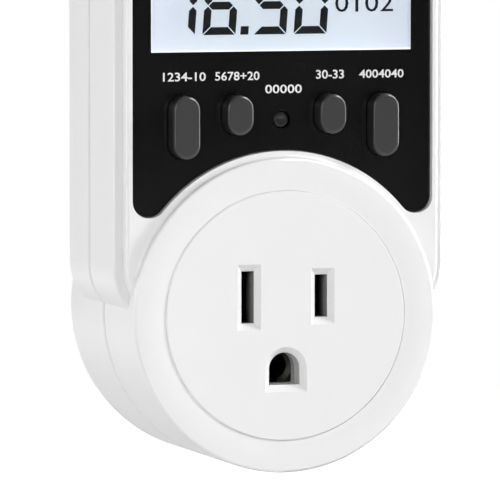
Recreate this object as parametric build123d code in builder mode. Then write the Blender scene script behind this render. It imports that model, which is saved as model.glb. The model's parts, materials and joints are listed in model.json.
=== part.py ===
from build123d import *
import os
from math import asin, cos, radians, sin, sqrt, tan

# Plug-in energy monitor: a flat display body above a round boss that carries
# an outlet on its front and the plug on its back.
# The origin is the middle of the boss's wall face. X is to the right, Z is up
# and Y points into the wall. Heights are measured from the wall to the user.

os.makedirs("parts", exist_ok=True)

# Casing
casing_width = 57.0
cover_above_panel = 6.5
casing_below_axis = 2.0
corner_radius = 10.0
boss_radius = 26.05
board_space = 9.3
disc_proud = 1.4
cover_rise = 2.35
front_side_depth = 14.2
body_gap = 7.7
wall = 2.0
cover_base_inset = 1.5
cover_draft = 2
cover_round = 0.5
shoulder_round = 0.35
rear_round = 0.4
boss_rear_chamfer = 0.35
boss_rear_round = 0.2
rim_round = 0.5
cove_radius = 0.6
disc_crown = 0.15

# Joint between the two shells
seam_gap = 0.3
seam_chamfer = 0.4
tongue_height = 1.8
tongue_thickness = 0.9
tongue_gap = 0.1

# Black front panel and its window
panel_side_margin = 2.65
panel_above_window = 12.5
panel_lobe_width = 4.25
panel_arc_gap = 1.15
panel_lobe_radius = 2.75
panel_lobe_flat = 0.1
panel_top_radius = 7.35
panel_recess = 1.0
panel_thickness = 1.5
panel_gap = 0.1
panel_edge_round = 0.15
floor_thickness = 1.6
window_side_margin = 3.38
window_above_keys = 7.08
window_height = 34.0
window_gap = 0.05

# Keys
key_width = 4.7
long_key_length = 10.4
short_key_length = 6.55
keys_above_arc = 9.22
long_key_share = 0.665
short_key_share = 0.31
key_proud = 2.05
key_travel = 0.5
key_gap = 0.2
key_round = 0.55
key_flange = 0.7
key_flange_thickness = 1.0
key_rest_gap = 0.1
key_stem_radius = 1.5
key_stem_length = 0.3
reset_above_arc = 5.0
reset_radius = 1.3
reset_depth = 0.45
reset_round = 0.3
reset_dimple_radius = 2.2
reset_dimple_depth = 0.12

# Switches under the keys
switch_size = 6.0
switch_body_height = 3.5
switch_stroke_height = 1.5
plunger_radius = 1.7
plunger_gap = 0.1
plunger_root = 0.8
plunger_round = 0.2

# Outlet face
insert_gap = 0.08
ring_width = 5.3
insert_thickness = 3.4
insert_round = 0.3
ledge_bore_radius = 13.6
slot_spacing = 12.7
slot_z = 3.1
ground_drop = 11.9
neutral_slot_height = 8.6
line_slot_height = 7.0
slot_width = 2.15
slot_flare = 0.95
slot_flare_tall = 1.15
slot_flare_depth = 1.0
ground_hole_radius = 2.65
ground_hole_flat = 2.7
ground_hole_step = 0.05
carrier_slot_step = 0.1

# Circuit boards
board_thickness = 1.6
display_board_side_gap = 1.0
display_board_above_arc = 0.6
display_board_top_gap = 9.4
meter_board_standoff = 3.4
meter_board_side_gap = 2.5
meter_board_boss_gap = 1.0
meter_board_top_gap = 9.7
board_corner = 1.5
part_seat_gap = 0.05

# Liquid crystal display
glass_margin = 1.3
glass_plate = 1.15
glass_gap = 0.1
glass_set_back = 0.1
glass_side_gap = 0.1
contact_ledge = 2.4
guide_thickness = 3.0
guide_margin = 1.1
frame_wall = 1.1
frame_shelf = 1.0
strip_thickness = 2.0
led_length = 3.0
led_thickness = 1.5
led_spacing = 15.0

# Screws
screw_head_radius = 2.0
screw_head_height = 1.4
screw_radius = 1.1
screw_length = 6.0
screw_gap = 0.04
screw_hole_gap = 0.15
screw_post_radius = 2.5
screw_tip_room = 0.15
casing_screw_head_radius = 2.3
casing_screw_head_height = 2.0
casing_screw_radius = 1.4
casing_screw_length = 14.0
casing_screw_seat = 13.2
casing_post_radius = 3.7
recess_bar_share = 0.3
recess_reach_share = 1.2
recess_depth_share = 0.55

# Where the screws stand, measured from the edges of what they hold
casing_screw_side = 7.5
casing_screw_above = 7.1
casing_screw_boss_edge = 6.1
casing_screw_boss_angle = 29
display_screw_side = 2.7
display_screw_above = 2.2
display_screw_below = 0.8
meter_screw_side = 3.5
meter_screw_above = 5.8
meter_screw_below = 12.5

# Plug
blade_width = 6.35
blade_thickness = 1.52
blade_length = 17.5
blade_tip = 0.5
blade_eye_radius = 1.6
blade_eye_from_wall = 11.9
blade_shoulder = 1.0
ground_pin_radius = 2.38
ground_pin_length = 21.0
ground_pin_round = 2.2
pin_root_radius = 2.6
pin_collar_radius = 3.6
pin_collar_height = 1.2
rivet_radius = 1.2
blade_gap = 0.15
blade_fit = 0.05
plug_block_height = 6.5
block_half_width = 12.2
block_above = 5.4
block_below = 17.4
ear_x = 16.1
ear_thickness = 2.0
ear_radius = 2.6

# Outlet contacts
contact_block_depth = 12.0
contact_sheet = 0.6
contact_clearance = 0.95
contact_mouth = 2.2
contact_pinch = 1.3
contact_base = 3.4
contact_cavity_width = 5.6
contact_cavity_margin = 0.6
contact_height = 6.2
contact_grip_share = 0.67
ground_sleeve_radius = 2.25
ground_sleeve_depth = 8.0
ground_sleeve_slit = 1.2
ground_flare_radius = 3.0
ground_cavity = 8.0
ground_base = 6.4
tail_width = 2.0
tail_offset = 3.0
tail_gap = 0.15
tail_proud = 0.9
strap_sheet = 0.8
strap_width = 4.0
strap_drop = 3.7
strap_reach = 6.6

# Parts on the boards
lead_radius = 0.4
lead_gap = 0.1
lead_share = 0.33
x_capacitor_width = 18.0
x_capacitor_tall = 11.0
x_capacitor_space = 1.5
x_capacitor_shares = (-0.48, 0.73)
x_capacitor_round = 0.8
smoothing_space = 1.3
smoothing_length = 12.0
smoothing_shares = (0.52, 0.79)
varistor_radius = 5.0
varistor_thickness = 4.2
varistor_round_share = 0.33
varistor_shares = (-0.52, 0.525)
fuse_width = 8.4
fuse_tall = 4.2
fuse_space = 1.6
fuse_shares = (-0.6, 0.377)
battery_radius = 5.7
battery_length = 17.0
battery_groove = 0.3
battery_groove_share = 0.17
battery_shares = (0.0, 0.217)
meter_chip_size = (10.0, 1.7, 6.0)
meter_chip_shares = (0.354, 0.4)
mcu_size = (10.0, 1.4, 10.0)
mcu_shares = (0.294, 0.588)
crystal_length = 10.5
crystal_width = 4.6
crystal_height = 3.4
crystal_shares = (-0.275, 0.588)
chip_leg_width = 0.4
chip_leg_reach = 0.9
chip_leg_height = 0.5
chip_leg_spacing = 1.27
chip_legs_per_side = 7
resistor_size = (3.2, 0.6, 1.6)
resistor_spacing = 2.6
resistor_count = 6
resistor_shares = (0.583, 0.613)
diode_size = (4.4, 2.2, 2.6)
diode_spacing = 4.0
diode_count = 4
diode_shares = (0.083, 0.8785)
shunt_length = 8.6
shunt_width = 4.0
shunt_rise = 2.6
shunt_place = (16.6, 2.0)

# Plug connection between the boards
link_pins = 8
link_pitch = 2.54
link_from_top = 2.5
link_width = 2.5
link_base_height = 2.5
link_space = 1.1
link_pin = 0.64
link_pin_gap = 0.1
link_pin_proud = 0.8
link_pin_grip = 4.0

# Bare plate on the back
label_side_margin = 9.5
label_bottom = 36.0
label_height = 38.0
label_corner = 1.5
label_thickness = 0.15
label_recess = 0.2
label_gap = 0.2

# Shared overrun of every cut
overrun = 1.0


# Heights above the wall, stacked up from the back
rear_floor = body_gap + wall
meter_board_back = rear_floor + meter_board_standoff
meter_board_front = meter_board_back + board_thickness
display_board_back = meter_board_front + board_space
display_board_front = display_board_back + board_thickness
switch_top = display_board_front + switch_body_height
plunger_top = switch_top + switch_stroke_height
flange_back = plunger_top + key_stem_length
flange_front = flange_back + key_flange_thickness
floor_back = flange_front + key_rest_gap
panel_back = floor_back + floor_thickness
panel_front = panel_back + panel_thickness
cover_height = panel_front + panel_recess
boss_depth = cover_height + disc_proud
shoulder_height = cover_height - cover_rise
seam_height = shoulder_height - front_side_depth
seam_front = seam_height + seam_gap / 2
seam_rear = seam_height - seam_gap / 2
insert_back = boss_depth - insert_thickness
key_face = cover_height + key_proud
reset_face = panel_front - reset_depth
contact_block_front = floor_back - part_seat_gap
contact_block_back = contact_block_front - contact_block_depth
plug_block_front = wall + plug_block_height

# Edges of the casing, the panel, the boards and the outlet
panel_half_width = casing_width / 2 - panel_side_margin
window_half_width = panel_half_width - window_side_margin
panel_arc_radius = boss_radius + panel_arc_gap
key_top = panel_arc_radius + keys_above_arc
reset_z = panel_arc_radius + reset_above_arc
window_bottom = key_top + window_above_keys
panel_top = window_bottom + window_height + panel_above_window
casing_top = panel_top + cover_above_panel
panel_lobe_inner = panel_half_width - panel_lobe_width
panel_lobe_bottom = sqrt(panel_arc_radius**2 - panel_lobe_inner**2)
panel_lobe_slant = asin(panel_lobe_inner / panel_arc_radius)
panel_lobe_room = (panel_lobe_width - panel_lobe_flat) / (1 + tan(panel_lobe_slant / 2))
panel_lobe_round = min(panel_lobe_radius, panel_lobe_room)
insert_bore_radius = boss_radius - ring_width
display_board_half_width = casing_width / 2 - wall - display_board_side_gap
display_board_bottom = panel_arc_radius + display_board_above_arc
display_board_top = casing_top - wall - display_board_top_gap
meter_board_half_width = casing_width / 2 - wall - meter_board_side_gap
meter_board_round_radius = boss_radius - wall - meter_board_boss_gap
meter_board_top = casing_top - wall - meter_board_top_gap
label_half_width = casing_width / 2 - label_side_margin

# Places across the front
long_key_x = panel_half_width * long_key_share
short_key_x = panel_half_width * short_key_share
long_key_z = key_top - long_key_length / 2
short_key_z = key_top - short_key_length / 2
pole_x = slot_spacing / 2
ground_z = slot_z - ground_drop
window_middle = window_bottom + window_height / 2
keys = {
    "left_outer": (-long_key_x, long_key_z, long_key_length),
    "left_inner": (-short_key_x, short_key_z, short_key_length),
    "right_inner": (short_key_x, short_key_z, short_key_length),
    "right_outer": (long_key_x, long_key_z, long_key_length),
}
switches = {name: (x, z) for name, (x, z, length) in keys.items()}
switches["reset"] = (0, reset_z)


def both_sides(x, z):
    """A place and its mirror image across the middle plane."""
    return [(-x, z), (x, z)]


def on_board(shares, half_width, top):
    """Place on a board, from its shares of the board's half width and of its top."""
    return (half_width * shares[0], top * shares[1])


boss_screw_circle = boss_radius - casing_screw_boss_edge
casing_screws_at = both_sides(casing_width / 2 - casing_screw_side, casing_top - casing_screw_above)
casing_screws_at += both_sides(
    boss_screw_circle * cos(radians(casing_screw_boss_angle)),
    -boss_screw_circle * sin(radians(casing_screw_boss_angle)),
)
display_screw_x = display_board_half_width - display_screw_side
display_screws_at = both_sides(display_screw_x, display_board_top - display_screw_above)
display_post_z = long_key_z + switch_size / 2 + screw_post_radius + display_screw_below
display_screws_at += both_sides(display_screw_x, display_post_z)
meter_screw_x = meter_board_half_width - meter_screw_side
meter_screws_at = both_sides(meter_screw_x, meter_board_top - meter_screw_above)
meter_screws_at += both_sides(meter_screw_x, corner_radius - casing_below_axis + meter_screw_below)
ears_at = both_sides(ear_x, slot_z)


def facing(height):
    """Plane that faces the user at a height above the wall."""
    return Plane.XZ.offset(height)


def slab(x, z, width, tall, low, high, mode=Mode.ADD):
    """Box centred on x and z between two heights."""
    with Locations((x, -(low + high) / 2, z)):
        Box(width, high - low, tall, mode=mode)


def rod(x, z, radius, low, high, mode=Mode.ADD):
    """Round bar that stands square to the wall between two heights."""
    with Locations((x, -(low + high) / 2, z)):
        Cylinder(radius, high - low, rotation=(90, 0, 0), mode=mode)


def casing_outline(height, inset=0, with_boss=False):
    """Outline of the body, drawn in by an inset, with or without the round boss."""
    with BuildSketch(facing(height)) as outline:
        with Locations((0, (casing_top - casing_below_axis) / 2)):
            RectangleRounded(
                casing_width - 2 * inset,
                casing_top + casing_below_axis - 2 * inset,
                corner_radius - inset,
            )
        if with_boss:
            Circle(boss_radius - inset)
    return outline.sketch


def panel_outline(height, grow=0):
    """Outline of the black panel: round top corners and two lobes beside the disc."""
    side = panel_half_width + grow
    arc = panel_arc_radius - grow
    low = panel_lobe_bottom - grow
    high = panel_top + grow
    inner = sqrt(arc**2 - low**2)
    with BuildSketch(facing(height)) as outline:
        with BuildLine():
            Polyline((inner, low), (side, low), (side, high), (-side, high), (-side, low), (-inner, low))
            ThreePointArc((-inner, low), (0, arc), (inner, low))
        make_face()
        fillet(outline.vertices().group_by(Axis.Y)[0], radius=panel_lobe_round)
        fillet(outline.vertices().group_by(Axis.Y)[-1], radius=panel_top_radius + grow)
    return outline.sketch


def key_outline(height, x, z, length, grow=0):
    """Upright slot shape of a key."""
    with BuildSketch(facing(height)) as outline:
        with Locations((x, z)):
            SlotOverall(length + 2 * grow, key_width + 2 * grow, rotation=90)
    return outline.sketch


def arch_outline(height, radius, flat):
    """Ground hole: round above the pin's axis and flat below it."""
    with BuildSketch(facing(height)) as outline:
        with BuildLine():
            Polyline(
                (radius, ground_z),
                (radius, ground_z - flat),
                (-radius, ground_z - flat),
                (-radius, ground_z),
            )
            ThreePointArc((-radius, ground_z), (0, ground_z + radius), (radius, ground_z))
        make_face()
    return outline.sketch


def bar_outline(height, x, z, width, tall):
    """Upright rectangle centred on x and z."""
    with BuildSketch(facing(height)) as outline:
        with Locations((x, z)):
            Rectangle(width, tall)
    return outline.sketch


def front_face(part):
    """The face nearest the user."""
    return part.faces().sort_by(Axis.Y)[0]


def rear_face(part):
    """The face nearest the wall."""
    return part.faces().sort_by(Axis.Y)[-1]


def cut_flared(narrow, wide, height):
    """Cut a hole whose mouth opens out towards the user."""
    extrude(narrow(height - slot_flare_depth), amount=-insert_thickness, mode=Mode.SUBTRACT)
    loft([narrow(height - slot_flare_depth).face(), wide(height).face()], mode=Mode.SUBTRACT)


def screw(x, z, seat, towards, size):
    """Pan head screw with a cross recess; towards is 1 for the user, -1 for the wall."""
    head_radius, head_height, shank_radius, length = size
    head_end = seat - towards * head_height
    low, high = sorted((seat, head_end))
    rod(x, z, head_radius, low, high)
    low, high = sorted((seat, seat + towards * length))
    rod(x, z, shank_radius, low, high)
    low, high = sorted((head_end, head_end + towards * head_height * recess_depth_share))
    bar = head_radius * recess_bar_share
    reach = head_radius * recess_reach_share
    slab(x, z, bar, reach, low, high, mode=Mode.SUBTRACT)
    slab(x, z, reach, bar, low, high, mode=Mode.SUBTRACT)


def legs(places, low, high):
    """Round wire leads of a part that is soldered through a board."""
    for x, z in places:
        rod(x, z, lead_radius, low, high)


def save(node, name):
    """Label a finished piece and write its file."""
    node.part.label = name
    export_step(node.part, f"parts/{name}.step")


inner_screw_size = (screw_head_radius, screw_head_height, screw_radius, screw_length)
casing_screw_size = (
    casing_screw_head_radius,
    casing_screw_head_height,
    casing_screw_radius,
    casing_screw_length,
)
pilot_radius = screw_radius + screw_gap
pilot_depth = screw_length + screw_tip_room
board_hole_radius = screw_radius + screw_hole_gap
casing_pilot_radius = casing_screw_radius + screw_gap
ear_front_height = contact_block_front - (contact_block_depth - ear_thickness) / 2
ear_back_height = ear_front_height - ear_thickness

# Hollow fillet where the cover's face meets the disc
with BuildPart() as cove:
    foot = boss_radius + cove_radius
    crest = cover_height + cove_radius
    with BuildSketch(Plane.XY) as cove_profile:
        with BuildLine():
            Polyline(
                (boss_radius, -crest),
                (boss_radius - wall, -crest),
                (boss_radius - wall, -shoulder_height),
                (foot, -shoulder_height),
                (foot, -cover_height),
            )
            ThreePointArc(
                (foot, -cover_height),
                (foot - cove_radius * cos(radians(45)), cove_radius * sin(radians(45)) - crest),
                (boss_radius, -crest),
            )
        make_face()
    revolve(axis=Axis.Y)
    cover_face_inset = cover_base_inset + cover_rise * tan(radians(cover_draft))
    extrude(
        casing_outline(shoulder_height, cover_face_inset),
        amount=cover_rise + disc_proud,
        mode=Mode.INTERSECT,
    )

# Front shell: shoulder, raised cover, round boss and the ring round the outlet
with BuildPart() as front_shell:
    extrude(casing_outline(seam_front), amount=shoulder_height - seam_front)
    fillet(front_face(front_shell).edges(), radius=shoulder_round)
    chamfer(rear_face(front_shell).edges(), length=seam_chamfer)
    extrude(casing_outline(shoulder_height, cover_base_inset), amount=cover_rise, taper=cover_draft)
    fillet(front_face(front_shell).edges(), radius=cover_round)
    with BuildSketch(Plane.XY) as boss_profile:
        with BuildLine():
            rim_height = boss_depth - disc_crown
            Polyline(
                (insert_bore_radius, -rim_height),
                (0, -rim_height),
                (0, -seam_front),
                (boss_radius - seam_chamfer, -seam_front),
                (boss_radius, -seam_front - seam_chamfer),
                (boss_radius, -rim_height),
            )
            ThreePointArc(
                (boss_radius, -rim_height),
                ((boss_radius + insert_bore_radius) / 2, -boss_depth),
                (insert_bore_radius, -rim_height),
            )
        make_face()
        rim = boss_profile.vertices().group_by(Axis.X)[-1].sort_by(Axis.Y)[0]
        fillet(rim, radius=rim_round)
    revolve(axis=Axis.Y)
    add(cove.part)
    extrude(
        casing_outline(seam_front - overrun, wall, with_boss=True),
        amount=floor_back - seam_front + overrun,
        mode=Mode.SUBTRACT,
    )
    extrude(
        panel_outline(panel_back, panel_gap),
        amount=cover_height - panel_back + overrun,
        mode=Mode.SUBTRACT,
    )
    slab(
        0,
        window_middle,
        2 * (window_half_width + glass_margin + glass_side_gap),
        window_height + 2 * (glass_margin + glass_side_gap),
        floor_back - overrun,
        panel_back + overrun,
        mode=Mode.SUBTRACT,
    )
    for x, z, length in keys.values():
        extrude(
            key_outline(floor_back - overrun, x, z, length, key_gap),
            amount=floor_thickness + 2 * overrun,
            mode=Mode.SUBTRACT,
        )
    rod(0, reset_z, reset_radius + key_gap, floor_back - overrun, panel_front, mode=Mode.SUBTRACT)
    rod(0, 0, insert_bore_radius, insert_back, boss_depth + overrun, mode=Mode.SUBTRACT)
    rod(0, 0, ledge_bore_radius, floor_back - overrun, insert_back + overrun, mode=Mode.SUBTRACT)
    # Tongue that crosses the seam
    extrude(casing_outline(seam_front, wall - tongue_thickness, with_boss=True), amount=-tongue_height)
    extrude(
        casing_outline(seam_front, wall, with_boss=True),
        amount=-tongue_height,
        mode=Mode.SUBTRACT,
    )
    # Posts for the screws
    for x, z in casing_screws_at:
        rod(x, z, casing_post_radius, seam_height + part_seat_gap, floor_back)
    for x, z in display_screws_at:
        rod(x, z, screw_post_radius, display_board_front, floor_back)
    for x, z in ears_at:
        rod(x, z, screw_post_radius, ear_front_height, floor_back)
    for x, z in casing_screws_at:
        tip = casing_screw_seat + casing_screw_length + screw_tip_room
        rod(x, z, casing_pilot_radius, seam_height - overrun, tip, mode=Mode.SUBTRACT)
    for x, z in display_screws_at:
        tip = display_board_back + pilot_depth
        rod(x, z, pilot_radius, display_board_front - overrun, tip, mode=Mode.SUBTRACT)
    for x, z in ears_at:
        tip = ear_back_height + pilot_depth
        rod(x, z, pilot_radius, ear_front_height - overrun, tip, mode=Mode.SUBTRACT)
save(front_shell, "front_shell")

# Rear shell: the back of the body and the boss that stands against the wall
with BuildPart() as rear_shell:
    extrude(casing_outline(body_gap), amount=seam_rear - body_gap)
    chamfer(front_face(rear_shell).edges(), length=seam_chamfer)
    fillet(rear_face(rear_shell).edges(), radius=rear_round)
    with BuildSketch(Plane.XY) as rear_profile:
        with BuildLine():
            Polyline(
                (0, 0),
                (boss_radius - boss_rear_chamfer, 0),
                (boss_radius, -boss_rear_chamfer),
                (boss_radius, seam_chamfer - seam_rear),
                (boss_radius - seam_chamfer, -seam_rear),
                (0, -seam_rear),
                close=True,
            )
        make_face()
        corners = rear_profile.vertices().filter_by_position(Axis.Y, -boss_rear_chamfer, 0)
        fillet(corners.filter_by_position(Axis.X, wall, boss_radius), radius=boss_rear_round)
    revolve(axis=Axis.Y)
    rod(0, 0, boss_radius - wall, wall, seam_rear + overrun, mode=Mode.SUBTRACT)
    extrude(
        casing_outline(rear_floor, wall),
        amount=seam_rear - rear_floor + overrun,
        mode=Mode.SUBTRACT,
    )
    groove_inset = wall - tongue_thickness - tongue_gap
    extrude(
        casing_outline(seam_front - tongue_height - tongue_gap, groove_inset, with_boss=True),
        amount=tongue_height + tongue_gap + overrun,
        mode=Mode.SUBTRACT,
    )
    # Posts for the screws
    for x, z in casing_screws_at:
        base = body_gap if z > boss_radius else 0
        rod(x, z, casing_post_radius, base + wall / 2, seam_height - part_seat_gap)
    for x, z in meter_screws_at:
        rod(x, z, screw_post_radius, body_gap + wall / 2, meter_board_back)
    for x, z in ears_at:
        rod(x, z, screw_post_radius, wall / 2, plug_block_front - ear_thickness)
    for x, z in casing_screws_at:
        rod(x, z, casing_screw_radius + screw_hole_gap, 0, seam_rear + overrun, mode=Mode.SUBTRACT)
        rod(
            x,
            z,
            casing_screw_head_radius + screw_hole_gap,
            -overrun,
            casing_screw_seat,
            mode=Mode.SUBTRACT,
        )
    for x, z in meter_screws_at:
        low = meter_board_front - pilot_depth
        rod(x, z, pilot_radius, low, meter_board_back + overrun, mode=Mode.SUBTRACT)
    for x, z in ears_at:
        rod(x, z, pilot_radius, plug_block_front - pilot_depth, plug_block_front, mode=Mode.SUBTRACT)
    # Ways out for the two blades and the pin
    for x in (-pole_x, pole_x):
        slab(
            x,
            slot_z,
            blade_thickness + 2 * blade_gap,
            blade_width + 2 * blade_gap,
            -overrun,
            wall + overrun,
            mode=Mode.SUBTRACT,
        )
    rod(0, ground_z, pin_root_radius + blade_gap, -overrun, wall + overrun, mode=Mode.SUBTRACT)
    # Shallow seat of the bare plate
    with BuildSketch(facing(body_gap - overrun)) as label_seat:
        with Locations((0, label_bottom + label_height / 2)):
            RectangleRounded(
                2 * (label_half_width + label_gap),
                label_height + 2 * label_gap,
                label_corner + label_gap,
            )
    extrude(label_seat.sketch, amount=overrun + label_recess, mode=Mode.SUBTRACT)
save(rear_shell, "rear_shell")

with BuildPart() as rating_label:
    with BuildSketch(facing(body_gap + label_recess)) as label_face:
        with Locations((0, label_bottom + label_height / 2)):
            RectangleRounded(2 * label_half_width, label_height, label_corner)
    extrude(label_face.sketch, amount=-label_thickness)
save(rating_label, "rating_label")

with BuildPart() as casing_screws:
    for x, z in casing_screws_at:
        screw(x, z, casing_screw_seat, 1, casing_screw_size)
save(casing_screws, "casing_screws")

# Round face of the outlet with its two slots and the ground hole
with BuildPart() as socket_insert:
    rod(0, 0, insert_bore_radius - insert_gap, insert_back, boss_depth)
    fillet(front_face(socket_insert).edges(), radius=insert_round)
    for x, tall in ((-pole_x, neutral_slot_height), (pole_x, line_slot_height)):
        cut_flared(
            lambda h: bar_outline(h, x, slot_z, slot_width, tall),
            lambda h: bar_outline(h, x, slot_z, slot_width + 2 * slot_flare, tall + 2 * slot_flare_tall),
            boss_depth,
        )
    cut_flared(
        lambda h: arch_outline(h, ground_hole_radius, ground_hole_flat),
        lambda h: arch_outline(h, ground_hole_radius + slot_flare, ground_hole_flat + slot_flare_tall),
        boss_depth,
    )
save(socket_insert, "socket_insert")

# Glossy black panel
with BuildPart() as display_panel:
    extrude(panel_outline(panel_back), amount=panel_thickness)
    fillet(front_face(display_panel).edges(), radius=panel_edge_round)
    slab(
        0,
        window_middle,
        2 * window_half_width,
        window_height,
        panel_back - overrun,
        panel_front + overrun,
        mode=Mode.SUBTRACT,
    )
    for x, z, length in keys.values():
        extrude(
            key_outline(panel_back - overrun, x, z, length, key_gap),
            amount=panel_thickness + 2 * overrun,
            mode=Mode.SUBTRACT,
        )
    rod(0, reset_z, reset_radius + key_gap, panel_back - overrun, panel_front + overrun, mode=Mode.SUBTRACT)
save(display_panel, "display_panel")

with BuildPart() as lcd_window:
    slab(
        0,
        window_middle,
        2 * (window_half_width - window_gap),
        window_height - 2 * window_gap,
        panel_back,
        panel_front,
    )
save(lcd_window, "lcd_window")

# Four keys and the reset button, each resting on the plunger of its switch
for name, (x, z, length) in keys.items():
    with BuildPart() as key:
        extrude(key_outline(flange_front, x, z, length), amount=key_face - flange_front)
        fillet(front_face(key).edges(), radius=key_round)
        extrude(key_outline(flange_front, x, z, length, key_flange), amount=-key_flange_thickness)
        rod(x, z, key_stem_radius, plunger_top, flange_back)
    save(key, f"key_{name}")

with BuildPart() as reset_button:
    rod(0, reset_z, reset_radius, flange_front, reset_face)
    fillet(front_face(reset_button).edges(), radius=reset_round)
    dimple_centre = reset_face + reset_dimple_radius - reset_dimple_depth
    with Locations((0, -dimple_centre, reset_z)):
        Sphere(reset_dimple_radius, mode=Mode.SUBTRACT)
    rod(0, reset_z, reset_radius + key_flange, flange_back, flange_front)
    rod(0, reset_z, reset_radius, plunger_top, flange_back)
save(reset_button, "reset_button")

for name, (x, z) in switches.items():
    with BuildPart() as plunger:
        rod(x, z, plunger_radius, switch_top - plunger_root, plunger_top)
        fillet(front_face(plunger).edges(), radius=plunger_round)
    save(plunger, f"plunger_{name}")

with BuildPart() as switch_bodies:
    for x, z in switches.values():
        slab(x, z, switch_size, switch_size, display_board_front, switch_top)
        low = switch_top - plunger_root - key_travel - plunger_gap
        rod(x, z, plunger_radius + plunger_gap, low, switch_top + overrun, mode=Mode.SUBTRACT)
save(switch_bodies, "switch_bodies")

# Display: glass, light guide, frame, lamps and the conductive rubber strip
glass_front = panel_back - glass_set_back
glass_back = glass_front - 2 * glass_plate
glass_width = 2 * (window_half_width + glass_margin)
glass_bottom = window_bottom - glass_margin
glass_top = window_bottom + window_height + glass_margin
rear_plate_bottom = glass_bottom + contact_ledge
guide_front = glass_back - glass_gap
guide_back = guide_front - guide_thickness
guide_width = glass_width - 2 * guide_margin
led_bottom = glass_top - guide_margin - led_thickness
guide_top = led_bottom - glass_gap
frame_half_width = glass_width / 2 + glass_side_gap + frame_wall
frame_bottom = glass_bottom - glass_side_gap - frame_wall
frame_top = glass_top + glass_side_gap + frame_wall

with BuildPart() as lcd_glass:
    slab(
        0,
        (glass_bottom + glass_top) / 2,
        glass_width,
        glass_top - glass_bottom,
        glass_front - glass_plate,
        glass_front,
    )
    slab(
        0,
        (rear_plate_bottom + glass_top) / 2,
        glass_width,
        glass_top - rear_plate_bottom,
        glass_back,
        glass_front - glass_plate,
    )
save(lcd_glass, "lcd_glass")

with BuildPart() as backlight_guide:
    guide_bottom = rear_plate_bottom + glass_gap
    slab(0, (guide_bottom + guide_top) / 2, guide_width, guide_top - guide_bottom, guide_back, guide_front)
save(backlight_guide, "backlight_guide")

with BuildPart() as lcd_frame:
    frame_middle = (frame_bottom + frame_top) / 2
    slab(
        0,
        frame_middle,
        2 * frame_half_width,
        frame_top - frame_bottom,
        display_board_front,
        floor_back - part_seat_gap,
    )
    slab(
        0,
        (glass_bottom + glass_top) / 2,
        glass_width + 2 * glass_side_gap,
        glass_top - glass_bottom + 2 * glass_side_gap,
        glass_back - part_seat_gap,
        floor_back + overrun,
        mode=Mode.SUBTRACT,
    )
    led_row_top = led_bottom + led_thickness + glass_side_gap
    slab(
        0,
        (glass_bottom + led_row_top) / 2,
        guide_width + 2 * glass_side_gap,
        led_row_top - glass_bottom,
        guide_back - part_seat_gap,
        floor_back,
        mode=Mode.SUBTRACT,
    )
    slab(
        0,
        (glass_bottom + led_row_top) / 2,
        guide_width - 2 * frame_shelf,
        led_row_top - glass_bottom,
        display_board_front - overrun,
        floor_back,
        mode=Mode.SUBTRACT,
    )
save(lcd_frame, "lcd_frame")

with BuildPart() as backlight_leds:
    for step in (-1, 0, 1):
        slab(
            step * led_spacing,
            led_bottom + led_thickness / 2,
            led_length,
            led_thickness,
            display_board_front,
            guide_front - glass_gap,
        )
save(backlight_leds, "backlight_leds")

with BuildPart() as contact_strip:
    slab(
        0,
        glass_bottom + glass_side_gap + strip_thickness / 2,
        guide_width - 2 * frame_shelf - 2 * glass_side_gap,
        strip_thickness,
        display_board_front,
        glass_front - glass_plate,
    )
save(contact_strip, "contact_strip")

# Display board, held to the front shell
link_z = meter_board_top - link_from_top
link_places = [((i - (link_pins - 1) / 2) * link_pitch, link_z) for i in range(link_pins)]
link_length = link_pins * link_pitch

with BuildPart() as display_board:
    with BuildSketch(facing(display_board_back)) as board_face:
        with Locations((0, (display_board_bottom + display_board_top) / 2)):
            RectangleRounded(
                2 * display_board_half_width,
                display_board_top - display_board_bottom,
                board_corner,
            )
    extrude(board_face.sketch, amount=board_thickness)
    for x, z in display_screws_at:
        rod(x, z, board_hole_radius, 0, boss_depth, mode=Mode.SUBTRACT)
    for x, z in link_places:
        rod(x, z, link_pin, 0, boss_depth, mode=Mode.SUBTRACT)
save(display_board, "display_board")


def chip(place, size, board, towards):
    """Flat chip with legs along its two long sides."""
    x, z = place
    width, height, tall = size
    low, high = sorted((board + towards * part_seat_gap, board + towards * height))
    slab(x, z, width, tall, low, high)
    foot_low, foot_high = sorted((board, board + towards * chip_leg_height))
    for i in range(chip_legs_per_side):
        along = x + (i - (chip_legs_per_side - 1) / 2) * chip_leg_spacing
        slab(along, z, chip_leg_width, tall + 2 * chip_leg_reach, foot_low, foot_high)


mcu_place = on_board(mcu_shares, display_board_half_width, display_board_top)
crystal_place = on_board(crystal_shares, display_board_half_width, display_board_top)

with BuildPart() as mcu_chip:
    chip(mcu_place, mcu_size, display_board_back, -1)
save(mcu_chip, "mcu_chip")

with BuildPart() as crystal:
    with BuildSketch(facing(display_board_back)) as can_face:
        with Locations(crystal_place):
            SlotOverall(crystal_length, crystal_width)
    extrude(can_face.sketch, amount=-crystal_height)
save(crystal, "crystal")

# Power parts on the meter board
part_seat = meter_board_front + part_seat_gap
leg_tip = meter_board_back - tail_proud


def on_meter_board(shares):
    """Place on the meter board from its shares."""
    return on_board(shares, meter_board_half_width, meter_board_top)


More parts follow.
